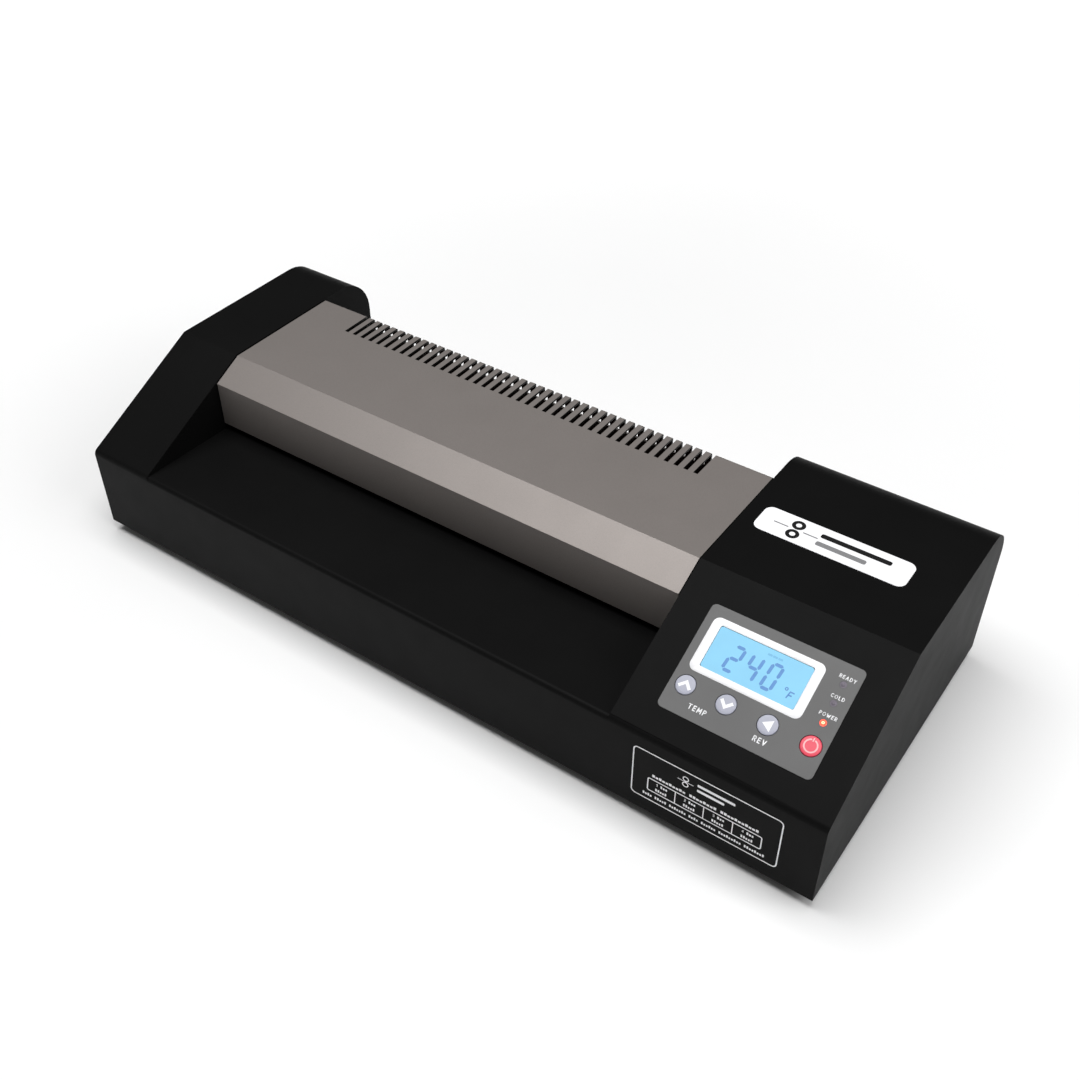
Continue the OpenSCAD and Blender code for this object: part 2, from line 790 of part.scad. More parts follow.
module gear_motor() color([0.75, 0.76, 0.78]) {
    back = bracket_x + sheet_t;
    difference() {
        union() {
            bar_x(back, back + gearbox_len, y_pinion, z_pinion, gearbox_r);
            bar_x(back - sheet_t + 0.2, back + 1, y_pinion, z_pinion, 6);
            bar_x(back + gearbox_len - 1, back + gearbox_len + can_len, y_pinion, z_pinion, can_r);
            bar_x(back + gearbox_len + can_len - 1, back + gearbox_len + can_len + 3,
                  y_pinion, z_pinion, 5);
        }
        bar_x(back - 5, back + 4, y_pinion, z_pinion, shaft_r + fit);
        for (a = [0, 120, 240]) bar_x(back - 5, back + 6, y_pinion + 13.5 * cos(a),
                                      z_pinion + 13.5 * sin(a), 1.25);
    }
    for (sy = [-1, 1])
        translate([back + gearbox_len + can_len, y_pinion + sy * 9, z_pinion])
            cube([8, 3, 0.6], center = true);
}

// Plate that carries the gear motor, its foot, and the three screws' holes
module motor_bracket() color([0.66, 0.67, 0.69]) {
    difference() {
        union() {
            block([bracket_x, y_pinion - 21, base_top],
                  [bracket_x + sheet_t, y_pinion + 21, z_pinion + 22]);
            block([bracket_x, y_pinion - 21, base_top],
                  [bracket_x + 20, y_pinion + 21, base_top + sheet_t]);
        }
        bar_x(bracket_x - 5, bracket_x + 5, y_pinion, z_pinion, 6.2);
        for (a = [0, 120, 240]) bar_x(bracket_x - 5, bracket_x + 5,
                                      y_pinion + 13.5 * cos(a), z_pinion + 13.5 * sin(a), 1.4);
        at_bracket_feet() cylinder(h = 12, r = 1.6, center = true);
    }
}

// ---- Heating and pouch path ----

// Curved shoe over a roller, with a rib for its heating rod and four lugs.
// Drawn for a roller whose axis is the origin, lying above it.
module heater_shoe() {
    difference() {
        union() {
            along_x(roller_x0, roller_x1) {
                ring_sector(shoe_r0, shoe_r1, shoe_angle);
                translate([-rib_w / 2, shoe_r1 - 2]) square([rib_w, rib_top - shoe_r1 + 2]);
            }
            for (sy = [-1, 1], x = [[left_frame_x + frame_t, roller_x0 + 2],
                                    [roller_x1 - 2, right_frame_x - frame_t]])
                block([x[0], sy * lug_r * sin(lug_angle) - lug_w / 2,
                       lug_r * cos(lug_angle) - lug_w / 2],
                      [x[1], sy * lug_r * sin(lug_angle) + lug_w / 2,
                       lug_r * cos(lug_angle) + lug_w / 2]);
        }
        bar_x(roller_x0 - 20, roller_x1 + 20, 0, 0, shoe_r0);
        bar_x(roller_x0 - 1, roller_x1 + 1, 0, element_h, element_r + 0.1);
        for (sy = [-1, 1], x = [left_frame_x, right_frame_x])
            bar_x(x - 9, x + 9, sy * lug_r * sin(lug_angle), lug_r * cos(lug_angle), 1.6);
    }
}

module upper_heater_shoe() color([0.78, 0.79, 0.8])
    translate([0, y_hot, z_up]) heater_shoe();

module lower_heater_shoe() color([0.78, 0.79, 0.8])
    translate([0, y_hot, z_low]) mirror([0, 0, 1]) heater_shoe();

module heater_elements() color([0.4, 0.36, 0.33]) {
    for (z = [z_up + element_h, z_low - element_h]) {
        bar_x(roller_x0 - 3, roller_x1 + 3, y_hot, z, element_r);
        bar_x(roller_x0 - 6, roller_x1 + 6, y_hot, z, 1.2);
    }
}

// Two snap-action cut-outs under the lower shoe
module thermal_cutouts() color([0.15, 0.13, 0.12]) {
    top = z_low - rib_top;
    for (x = [roller_xc - 60, roller_xc + 60]) translate([x, y_hot, top]) {
        translate([0, 0, -5]) cylinder(h = 5, r = 8);
        translate([0, 0, -9]) cylinder(h = 4.5, r = 6);
        for (s = [-1, 1]) translate([s * 8, 0, -7.5]) cube([8, 5, 0.8], center = true);
    }
}

// Temperature probe on the side of the upper shoe's rib
module thermistor() color([0.3, 0.28, 0.26]) {
    y = y_hot + rib_w / 2 + 2;
    z = z_up + element_h;
    bar_x(roller_xc - 10, roller_xc + 10, y, z, 2);
    block([roller_xc - 4, y - 2, z - 1], [roller_xc + 4, y + 3, z + 1]);
}

// Pair of guide lips between the side frames, joined by a web at each end.
// The lips run from y0 to y1; open is their clear gap at y0 and shut at y1.
module guide(y0, y1, open, shut, lip_t) {
    web = 5;
    x0 = left_frame_x + frame_t;
    x1 = right_frame_x - frame_t;
    for (s = [-1, 1]) along_x(x0, x1)
        polygon([[y0, nip_h + s * open / 2], [y1, nip_h + s * shut / 2],
                 [y1, nip_h + s * (shut / 2 + lip_t)], [y0, nip_h + s * (open / 2 + lip_t)]]);
    for (x = [x0, x1 - web]) along_x(x, x + web)
        polygon([[y0, nip_h - open / 2 - 0.2], [y1, nip_h - shut / 2 - 0.2],
                 [y1, nip_h + shut / 2 + 0.2], [y0, nip_h + open / 2 + 0.2]]);
}

module infeed_guide() color([0.25, 0.25, 0.26]) difference() {
    guide(y_hot - 30, y_hot - 11, 5, 2.2, 1);
    at_frames(guide_points()) translate([0, 0, -9]) cylinder(h = 12, r = guide_hole_r);
}

module transfer_guide() color([0.25, 0.25, 0.26]) difference() {
    guide(y_hot + 11.5, y_pull - 11.5, 2.4, 2.4, 1);
    at_frames(guide_points()) translate([0, 0, -9]) cylinder(h = 12, r = guide_hole_r);
}

module exit_guide() color([0.25, 0.25, 0.26]) difference() {
    guide(y_pull + 11, y_pull + 22, 2.4, 4.4, 1);
    at_frames(guide_points()) translate([0, 0, -9]) cylinder(h = 12, r = guide_hole_r);
}

// ---- Control panel ----

module panel_overlay() color([0.44, 0.44, 0.44]) on_slope() difference() {
    translate([panel_x, panel_s, 0]) linear_extrude(overlay_t)
        round_rect(overlay_w, overlay_l, overlay_r);
    panel_cutouts(-1, 2);
}

module lcd_bezel() color([0.95, 0.95, 0.96]) on_slope()
    translate([lcd_x, lcd_s, overlay_t]) linear_extrude(bezel_t) difference() {
        round_rect(bezel_w, bezel_l, bezel_r);
        round_rect(lcd_w, lcd_l, 1.5);
    }

module lcd_module() color([0.55, 0.86, 1]) on_slope() translate([lcd_x, lcd_s, 0]) {
    translate([-31, -16, board_n]) cube([62, 32, -board_n - 2]);
    translate([0, 0, -2.5]) linear_extrude(2.8) round_rect(lcd_w - 0.4, lcd_l - 0.4, 1.3);
}

module control_board() color([0.1, 0.35, 0.2]) on_slope()
    translate([panel_x - board_w / 2, panel_s - board_l / 2, board_n - board_t])
        cube([board_w, board_l, board_t]);

module key_switches() color([0.13, 0.13, 0.13]) on_slope()
    for (k = [0:3]) translate([key_x0 + k * key_pitch, key_s, board_n]) difference() {
        translate([-3, -3, 0]) cube([6, 6, 3.3]);
        translate([0, 0, 0.5]) cylinder(h = 5, r = 1.9);
    }

module status_leds() color([1, 0.3, 0.2]) on_slope()
    for (s = led_s) translate([led_x, s, board_n]) {
        cylinder(h = 7, d = led_d);
        cylinder(h = 1, d = led_d + 0.8);
        translate([0, 0, 7]) sphere(d = led_d);
    }

// Round key: a cap through the panel, a flange behind it, and a stem in its switch
module key(k) {
    on_slope() translate([key_x0 + k * key_pitch, key_s, 0]) {
        translate([0, 0, -2.9]) cylinder(h = 3.8, d = key_d);
        translate([0, 0, -2.9]) cylinder(h = 1, d = key_d + 2.4);
        translate([0, 0, -5.6]) cylinder(h = 3, r = 1.6);
    }
}

module up_key() color([0.75, 0.76, 0.82])
    key(0);

module down_key() color([0.75, 0.76, 0.82])
    key(1);

module reverse_key() color([0.75, 0.76, 0.82])
    key(2);

module power_key() color([0.94, 0.34, 0.43])
    key(3);

module badge_plate() color([0.93, 0.93, 0.93])
    translate([badge_x, badge_y, top_h]) linear_extrude(badge_t)
        round_rect(badge_size[0], badge_size[1], 5);

module front_label() color([0.9, 0.9, 0.9])
    translate([label_x, y_front, label_z]) rotate([90, 0, 0]) linear_extrude(label_t)
        round_rect(label_size[0], label_size[1], 3);

// ---- Electrics ----

module power_board() color([0.55, 0.42, 0.2])
    block([power_x[0], power_y[0], power_z], [power_x[1], power_y[1], power_z + board_t]);

module power_components() color([0.2, 0.2, 0.22]) {
    z = power_z + board_t;
    x = power_x[0];
    y = power_y[0];
    block([x + 40, y + 8, z], [x + 76, y + 38, z + 26]);
    block([x + 8, y + 44, z], [x + 28, y + 60, z + 16]);
    block([x + 50, y + 58, z], [x + 76, y + 68, z + 12]);
    block([x + 6, y + 6, z], [x + 30, y + 9, z + 20]);
    for (k = [0:1]) translate([x + 14 + 16 * k, y + 26, z]) cylinder(h = 20, r = 6.5);
}

// Three-pole appliance inlet: a flange outside the rear wall and a socket through it
module mains_inlet() color([0.08, 0.08, 0.08]) translate([inlet_x, y_back, inlet_z]) {
    difference() {
        union() {
            rotate([-90, 0, 0]) linear_extrude(flange_t) round_rect(50, 24, 4);
            block([-13.6, -18, -10], [13.6, 1, 10]);
        }
        block([-12, -14, -8.2], [12, flange_t + 1, 8.2]);
        for (sx = [-1, 1]) translate([sx * 20, 0, 0])
            rotate([90, 0, 0]) cylinder(h = 10, r = 1.7, center = true);
        for (p = inlet_pin_places()) block([p[0] - 2, -19, p[1] - 1], [p[0] + 2, -13, p[1] + 1]);
    }
}

function inlet_pin_places() = [[-7, -1], [0, 3], [7, -1]];

module inlet_pins() color("silver") translate([inlet_x, y_back, inlet_z])
    for (p = inlet_pin_places())
        block([p[0] - 2, -25, p[1] - 1], [p[0] + 2, -1, p[1] + 1]);

// A wire along a cubic curve, from c[0] to c[3]
module wire(c, r) {
    rings = 16;
    sides = 8;
    up = [0.31, 0.17, 0.93];
    points = [for (i = [0:rings], j = [0:sides - 1])
        let (t = i / rings, d = unit(curve_dir(c, t)), u = unit(cross(d, up)), v = cross(u, d))
        curve(c, t) + r * (u * cos(j * 360 / sides) + v * sin(j * 360 / sides))];
    walls = [for (i = [0:rings - 1], j = [0:sides - 1])
        let (k = (j + 1) % sides)
        [i * sides + j, i * sides + k, (i + 1) * sides + k, (i + 1) * sides + j]];
    ends = [[for (j = [sides - 1:-1:0]) j], [for (j = [0:sides - 1]) rings * sides + j]];
    polyhedron(points, concat(walls, ends), convexity = 4);
}

// A wire that leaves and arrives straight up, with its arch as high as rise allows
module arched_wire(from, to, rise, r)
    wire([from, from + [0, 0, rise], to + [0, 0, rise], to], r);

// Mains leads to the terminal block, motor leads, and the loom up to the control board
module internal_wiring() color([0.75, 0.15, 0.12]) {
    board_top = power_z + board_t;
    for (k = [0:2]) let (p = inlet_pin_places()[k])
        arched_wire([inlet_x + p[0], y_back - 22, inlet_z + p[1] + 1],
                    [power_x[0] + 55 + 8 * k, power_y[0] + 63, board_top + 12], 64, 1.1);
    for (s = [-1, 1])
        arched_wire([bracket_x + sheet_t + gearbox_len + can_len + 2.5, y_pinion + s * 9, z_pinion + 0.3],
                    [power_x[0] + 18 - 4 * s, power_y[0] + 52, board_top + 16], 48, 0.8);
    for (k = [0:3]) wire([
        [panel_x - 4 + 2.5 * k, y_front + 62, front_h + 10],
        [panel_x - 4 + 2.5 * k, y_front + 72, front_h - 10],
        [panel_x + 3 + 2.5 * k, y_front + 62, power_z + 30],
        [panel_x + 3 + 2.5 * k, y_front + 62, board_top]
    ], 0.6);
}

outer_casing();
top_cover();
base_plate();
rubber_feet();
foot_screws();
base_screws();
cover_screws();
left_side_frame();
right_side_frame();
frame_stays();
frame_screws();
spring_caps();
lower_bushes();
upper_hot_blocks();
upper_pull_blocks();
hot_pressure_springs();
pull_pressure_springs();
lower_hot_core();
lower_hot_sleeve();
upper_hot_core();
upper_hot_sleeve();
lower_pull_core();
lower_pull_sleeve();
upper_pull_core();
upper_pull_sleeve();
lower_hot_gear();
upper_hot_gear();
lower_pull_gear();
upper_pull_gear();
idler_gear();
idler_stud();
motor_pinion();
motor_shaft();
gear_motor();
motor_bracket();
upper_heater_shoe();
lower_heater_shoe();
heater_elements();
thermal_cutouts();
thermistor();
infeed_guide();
transfer_guide();
exit_guide();
panel_overlay();
lcd_bezel();
lcd_module();
control_board();
key_switches();
status_leds();
up_key();
down_key();
reverse_key();
power_key();
badge_plate();
front_label();
power_board();
power_components();
mains_inlet();
inlet_pins();
internal_wiring();
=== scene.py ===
import json
import math

import bmesh
import bpy
from mathutils import Matrix, Vector


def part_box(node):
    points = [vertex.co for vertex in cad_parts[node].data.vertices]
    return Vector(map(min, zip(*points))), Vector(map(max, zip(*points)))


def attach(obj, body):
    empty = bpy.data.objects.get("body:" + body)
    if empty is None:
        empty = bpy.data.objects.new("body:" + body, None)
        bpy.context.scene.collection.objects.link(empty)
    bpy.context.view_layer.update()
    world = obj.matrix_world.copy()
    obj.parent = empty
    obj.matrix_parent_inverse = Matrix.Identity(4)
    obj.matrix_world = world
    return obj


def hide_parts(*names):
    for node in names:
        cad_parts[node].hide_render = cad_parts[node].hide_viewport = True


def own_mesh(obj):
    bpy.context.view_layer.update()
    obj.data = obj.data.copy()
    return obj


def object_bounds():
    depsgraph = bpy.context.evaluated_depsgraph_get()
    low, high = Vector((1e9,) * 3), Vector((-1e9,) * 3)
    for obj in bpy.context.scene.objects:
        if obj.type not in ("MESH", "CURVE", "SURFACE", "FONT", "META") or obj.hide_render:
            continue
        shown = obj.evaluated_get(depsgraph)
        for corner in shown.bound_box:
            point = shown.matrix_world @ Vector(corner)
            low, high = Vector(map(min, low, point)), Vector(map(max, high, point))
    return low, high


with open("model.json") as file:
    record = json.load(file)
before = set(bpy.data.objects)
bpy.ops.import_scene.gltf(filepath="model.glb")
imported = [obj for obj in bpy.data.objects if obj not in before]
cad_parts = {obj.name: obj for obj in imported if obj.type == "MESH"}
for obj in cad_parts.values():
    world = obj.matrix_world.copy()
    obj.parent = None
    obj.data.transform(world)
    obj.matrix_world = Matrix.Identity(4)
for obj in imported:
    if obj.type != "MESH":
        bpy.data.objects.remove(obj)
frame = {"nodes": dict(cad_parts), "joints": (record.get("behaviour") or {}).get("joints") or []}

cad_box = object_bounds()
MM = 0.001


# ---------------------------------------------------------------- places, all from the frame

def joint(name):
    """The record's row for one joint."""
    return next(j for j in frame["joints"] if j["name"] == name)


# The keys press straight into the panel, so their axis gives the panel's own directions.
PANEL_N = -Vector(joint("power_key_press")["axis"]).normalized()
PANEL_X = Vector((1, 0, 0))
PANEL_S = PANEL_N.cross(PANEL_X)
PANEL = Matrix((PANEL_X, PANEL_S, PANEL_N)).transposed().to_4x4()


def panel_box(node):
    """(low, high) of a CAD node along the panel's x, up-slope and outward directions."""
    inverse = PANEL.inverted()
    points = [inverse @ v.co for v in frame["nodes"][node].data.vertices]
    low = Vector([min(p[i] for p in points) for i in range(3)])
    high = Vector([max(p[i] for p in points) for i in range(3)])
    return low, high


def middle(box):
    """Centre of a (low, high) pair."""
    return (box[0] + box[1]) / 2


# ---------------------------------------------------------------- materials

class Nodes:
    """A material's node tree, with short calls for adding and joining nodes."""

    def __init__(self, name):
        self.material = bpy.data.materials.new(name)
        self.material.use_nodes = True
        self.tree = self.material.node_tree
        self.shader = self.tree.nodes["Principled BSDF"]

    def add(self, kind, **values):
        """A new node; each value goes to the input or the property of that name."""
        node = self.tree.nodes.new(kind)
        for key, value in values.items():
            if key in node.inputs:
                node.inputs[key].default_value = value
            else:
                setattr(node, key, value)
        return node

    def join(self, source, output, target, name):
        self.tree.links.new(source.outputs[output], target.inputs[name])

    def coords(self, scale=(1, 1, 1)):
        """Object coordinates in metres, times scale."""
        place = self.add("ShaderNodeTexCoord")
        mapping = self.add("ShaderNodeMapping")
        mapping.inputs["Scale"].default_value = scale
        self.join(place, "Object", mapping, "Vector")
        return mapping

    def noise(self, scale, detail=2.0, stretch=(1, 1, 1), rough=0.5):
        texture = self.add("ShaderNodeTexNoise", Scale=scale, Detail=detail, Roughness=rough)
        self.join(self.coords(stretch), "Vector", texture, "Vector")
        return texture

    def ramp(self, source, output, low, high, start=0.3, end=0.7):
        """A blend from low to high as the source goes from start to end."""
        ramp = self.add("ShaderNodeValToRGB")
        ramp.color_ramp.elements[0].position = start
        ramp.color_ramp.elements[1].position = end
        ramp.color_ramp.elements[0].color = low
        ramp.color_ramp.elements[1].color = high
        self.join(source, output, ramp, "Fac")
        return ramp

    def bump(self, source, output, depth, strength=1.0, after=None):
        """Adds a bump of that depth in metres to the shader."""
        bump = self.add("ShaderNodeBump", Strength=strength, Distance=depth)
        self.join(source, output, bump, "Height")
        if after is not None:
            self.join(after, "Normal", bump, "Normal")
        self.join(bump, "Normal", self.shader, "Normal")
        return bump

    def set(self, **values):
        """Plain values of the shader, by short names."""
        names = {
            "rough": "Roughness", "metal": "Metallic", "specular": "Specular IOR Level",
            "coat": "Coat Weight", "coat_rough": "Coat Roughness", "glow": "Emission Strength",
            "sheen": "Sheen Weight",
        }
        for key, value in values.items():
            self.shader.inputs[names[key]].default_value = value
        return self


def rgb(red, green, blue):
    """A linear colour from the three 0-255 values of a display colour."""
    def linear(v):
        v /= 255
        return v / 12.92 if v <= 0.04045 else ((v + 0.055) / 1.055) ** 2.4
    return (linear(red), linear(green), linear(blue), 1)


def scaled(colour, k):
    """The same colour, k times as bright."""
    return (colour[0] * k, colour[1] * k, colour[2] * k, 1)


def varied(nodes, colour, scale, spread=0.08, stretch=(1, 1, 1)):
    """Base colour that wanders a little over the surface."""
    noise = nodes.noise(scale, 3.0, stretch)
    ramp = nodes.ramp(noise, "Fac", scaled(colour, 1 - spread), scaled(colour, 1 + spread))
    nodes.join(ramp, "Color", nodes.shader, "Base Color")


def rough_varied(nodes, scale, low, high, stretch=(1, 1, 1)):
    """Roughness that wanders between low and high."""
    noise = nodes.noise(scale, 4.0, stretch)
    spread = nodes.add("ShaderNodeMapRange", **{"To Min": low, "To Max": high})
    nodes.join(noise, "Fac", spread, "Value")
    nodes.join(spread, "Result", nodes.shader, "Roughness")


def powder_coat(name, colour, specular, rough):
    """Satin powder coat: a fine orange-peel texture over a slightly uneven colour."""
    nodes = Nodes(name).set(specular=specular)
    varied(nodes, colour, 18, 0.10)
    rough_varied(nodes, 60, rough - 0.05, rough + 0.05)
    peel = nodes.bump(nodes.noise(1400, 2.0), "Fac", 0.00003, 0.3)
    nodes.bump(nodes.noise(260, 2.0), "Fac", 0.00004, 0.2, after=peel)
    return nodes.material


def metallic_paint(name, colour, painted_shade_colour, centre):
    """Silver-grey metallic paint with fine flake, on a shell whose inner faces and cut edges get a
    painted shade colour.

    centre is a (y, z) within the shell: the faces that turn towards it are painted dark as shade.
    """
    nodes = Nodes(name).set(metal=0.42, specular=0.25)
    flake = nodes.add("ShaderNodeTexVoronoi", Scale=2600)
    nodes.join(nodes.coords(), "Vector", flake, "Vector")
    ramp = nodes.ramp(flake, "Distance", scaled(colour, 1.07), scaled(colour, 0.93), 0.1, 0.8)
    spot = nodes.add("ShaderNodeTexCoord")
    away = nodes.add("ShaderNodeVectorMath", operation="SUBTRACT")
    nodes.join(spot, "Object", away, 0)
    away.inputs[1].default_value = (0, *centre)
    flat = nodes.add("ShaderNodeVectorMath", operation="MULTIPLY")
    nodes.join(away, "Vector", flat, 0)
    flat.inputs[1].default_value = (0, 1, 1)
    outward = nodes.add("ShaderNodeVectorMath", operation="DOT_PRODUCT")
    nodes.join(flat, "Vector", outward, 0)
    nodes.join(spot, "Normal", outward, 1)
    # Painted shade: faces that turn towards centre, the shell's inner side and its slot walls,
    # take the dark colour.
    shown = nodes.add("ShaderNodeMapRange", **{"From Min": 1 * MM, "From Max": 3 * MM})
    nodes.join(outward, "Value", shown, "Value")
    blend = nodes.add("ShaderNodeMixRGB", Color1=painted_shade_colour)
    nodes.join(shown, "Result", blend, "Fac")
    nodes.join(ramp, "Color", blend, "Color2")
    nodes.join(blend, "Color", nodes.shader, "Base Color")
    rough_varied(nodes, 40, 0.40, 0.50)
    nodes.bump(nodes.noise(900, 2.0), "Fac", 0.00003, 0.25)
    return nodes.material


def plastic(name, colour, rough=0.45, specular=0.4, grain=900, depth=0.00003, coat=0.0):
    """Moulded plastic with a fine spark-eroded grain."""
    nodes = Nodes(name).set(specular=specular, coat=coat, coat_rough=0.12)
    varied(nodes, colour, 30, 0.05)
    rough_varied(nodes, 90, max(0.05, rough - 0.06), rough + 0.06)
    nodes.bump(nodes.noise(grain, 2.0), "Fac", depth, 0.4)
    return nodes.material


def metal(name, colour, rough=0.35, brush=(1, 1, 1), depth=0.00002, scale=600):
    """Bare metal, brushed along the axis with the smallest factor in brush."""
    nodes = Nodes(name).set(metal=1.0)
    varied(nodes, colour, 45, 0.08, brush)
    rough_varied(nodes, 300, rough - 0.08, rough + 0.1, brush)
    nodes.bump(nodes.noise(scale, 3.0, brush), "Fac", depth, 0.4)
    return nodes.material


def galvanised(name):
    """Zinc-coated sheet with its large pale crystals."""
    nodes = Nodes(name).set(metal=0.9)
    spangle = nodes.add("ShaderNodeTexVoronoi", Scale=160)
    nodes.join(nodes.coords(), "Vector", spangle, "Vector")
    ramp = nodes.ramp(spangle, "Color", rgb(165, 168, 172), rgb(205, 207, 210))
    nodes.join(ramp, "Color", nodes.shader, "Base Color")
    rough_varied(nodes, 160, 0.32, 0.5)
    return nodes.material


def rubber(name, colour, rough=0.8):
    """Moulded rubber with a dull, uneven skin."""
    nodes = Nodes(name).set(specular=0.25, sheen=0.15)
    varied(nodes, colour, 60, 0.12)
    rough_varied(nodes, 200, rough - 0.08, rough + 0.08)
    nodes.bump(nodes.noise(1200, 3.0), "Fac", 0.00005, 0.5)
    return nodes.material


def printed(name, colour, rough=0.5):
    """Screen-printed ink with a slightly uneven edge-to-edge density."""
    nodes = Nodes(name).set(specular=0.3)
    varied(nodes, colour, 500, 0.04)
    rough_varied(nodes, 700, rough - 0.05, rough + 0.05)
    return nodes.material


def glowing(name, colour, strength, base=0.4, spread=0.06, scale=60, rough=0.25):
    """A surface lit from behind, a little brighter in some places than in others."""
    nodes = Nodes(name).set(glow=strength, rough=rough, specular=0.3)
    noise = nodes.noise(scale, 2.0)
    light = nodes.ramp(noise, "Fac", scaled(colour, 1 - spread), scaled(colour, 1 + spread))
    nodes.join(light, "Color", nodes.shader, "Emission Color")
    body = nodes.ramp(noise, "Fac", scaled(colour, base * 0.95), scaled(colour, base * 1.05))
    nodes.join(body, "Color", nodes.shader, "Base Color")
    return nodes.material


def board(name, colour):
    """Circuit board: solder mask over faint copper tracks."""
    nodes = Nodes(name).set(specular=0.5, rough=0.35)
    tracks = nodes.add("ShaderNodeTexBrick", Scale=160)
    nodes.join(nodes.coords(), "Vector", tracks, "Vector")
    ramp = nodes.ramp(tracks, "Fac", scaled(colour, 0.85), scaled(colour, 1.35), 0.4, 0.6)
    nodes.join(ramp, "Color", nodes.shader, "Base Color")
    rough_varied(nodes, 120, 0.28, 0.42)
    return nodes.material


CASING = powder_coat("black_powder_coat", rgb(14, 14, 14), 0.052, 0.5)
# The second colour is painted shade for the cover's inner faces and slot walls.
COVER = metallic_paint(
    "cover_metallic_paint", rgb(134, 128, 124.5), rgb(30, 29, 28), (0.012, 0.078))
BASE = powder_coat("base_powder_coat", rgb(18, 18, 18), 0.12, 0.55)
RUBBER = rubber("foot_rubber", rgb(22, 22, 22))
SILICONE = rubber("roller_silicone", rgb(168, 66, 44), 0.5)
ZINC = metal("zinc_screws", rgb(190, 190, 195), 0.3)
FRAME_STEEL = galvanised("frame_steel")
SPRING_STEEL = metal("spring_wire", rgb(200, 200, 205), 0.22)
ROLLER_STEEL = metal("ground_steel", rgb(195, 196, 200), 0.25, (1, 30, 30))
BRONZE = metal("bush_bronze", rgb(185, 140, 84), 0.4)
BRASS = metal("pinion_brass", rgb(200, 165, 90), 0.3)
MOTOR = metal("motor_plating", rgb(190, 192, 196), 0.3, (1, 12, 12))
ALUMINIUM = metal("shoe_aluminium", rgb(196, 198, 200), 0.4, (1, 40, 40))
SHEATH = metal("heater_sheath", rgb(112, 98, 88), 0.5, (1, 20, 20))
ACETAL = plastic("acetal", rgb(222, 218, 205), 0.4)
GEAR = plastic("gear_nylon", rgb(52, 52, 55), 0.5)
BAKELITE = plastic("phenolic", rgb(38, 34, 33), 0.45)
GUIDE = powder_coat("guide_coating", rgb(52, 52, 54), 0.3, 0.45)
OVERLAY = plastic("overlay_film", rgb(105, 105, 105), 0.45, 0.15, 1600, 0.00002)
WHITE = plastic("white_frame", rgb(246, 246, 248), 0.35, 0.4, 1600, 0.00001)
KEY = plastic("key_lavender", rgb(168, 170, 184), 0.35, 0.3, 1400, 0.00001, 0.1)
POWER_KEY = plastic("key_red", rgb(226, 74, 94), 0.35, 0.3, 1400, 0.00001, 0.1)
INK_WHITE = printed("white_ink", rgb(244, 244, 246))
INK_PINK = printed("pale_pink_ink", rgb(240, 186, 188))
INK_DARK = printed("dark_ink", rgb(14, 14, 15))
INK_GREY = printed("grey_ink", rgb(128, 128, 130))
LCD_GLOW = glowing("display_backlight", rgb(139, 217, 255), 0.58, 0.28, 0.03)
LCD_INK = printed("display_segments", rgb(76, 134, 196), 0.3)
LCD_FAINT = printed("display_faint", rgb(104, 176, 216), 0.3)
LED_OFF = plastic("lamp_unlit", rgb(116, 110, 120), 0.45, 0.2)
LED_ON = glowing("lamp_lit", rgb(255, 84, 56), 1.3, 0.4, 0.1, 900)
LED_CORE = glowing("lamp_lit_core", rgb(255, 205, 160), 2.5, 0.4, 0.1, 900)
GREEN_BOARD = board("control_board_mask", rgb(30, 110, 70))
TAN_BOARD = board("power_board_laminate", rgb(170, 135, 80))
PARTS = plastic("component_cases", rgb(42, 42, 46), 0.5)
INLET = plastic("inlet_plastic", rgb(24, 24, 24), 0.5, 0.4, 700, 0.00005)
WIRE = plastic("wire_insulation", rgb(180, 50, 40), 0.4)

NODE_MATERIALS = {
    "base_plate": BASE, "foot_screws": ZINC, "base_screws": ZINC,
    "cover_screws": ZINC, "left_side_frame": FRAME_STEEL, "right_side_frame": FRAME_STEEL,
    "frame_stays": ROLLER_STEEL, "frame_screws": ZINC, "spring_caps": FRAME_STEEL,
    "lower_bushes": BRONZE, "upper_hot_blocks": ACETAL, "upper_pull_blocks": ACETAL,
    "hot_pressure_springs": SPRING_STEEL, "pull_pressure_springs": SPRING_STEEL,
    "lower_hot_core": ROLLER_STEEL, "upper_hot_core": ROLLER_STEEL,
    "lower_pull_core": ROLLER_STEEL, "upper_pull_core": ROLLER_STEEL,
    "lower_hot_sleeve": SILICONE, "upper_hot_sleeve": SILICONE,
    "lower_pull_sleeve": SILICONE, "upper_pull_sleeve": SILICONE,
    "lower_hot_gear": GEAR, "upper_hot_gear": GEAR,
    "lower_pull_gear": GEAR, "upper_pull_gear": GEAR,
    "idler_gear": ACETAL, "idler_stud": ZINC, "motor_pinion": BRASS,
    "motor_shaft": ROLLER_STEEL, "gear_motor": MOTOR, "motor_bracket": FRAME_STEEL,
    "upper_heater_shoe": ALUMINIUM, "lower_heater_shoe": ALUMINIUM,
    "heater_elements": SHEATH, "thermal_cutouts": BAKELITE, "thermistor": SHEATH,
    "infeed_guide": GUIDE, "transfer_guide": GUIDE, "exit_guide": GUIDE,
    "control_board": GREEN_BOARD, "key_switches": BAKELITE,
    "power_board": TAN_BOARD, "power_components": PARTS,
    "mains_inlet": INLET, "inlet_pins": ZINC, "internal_wiring": WIRE,
}
for node_name, material in NODE_MATERIALS.items():
    data = frame["nodes"][node_name].data
    data.materials.clear()
    data.materials.append(material)


# ---------------------------------------------------------------- pieces

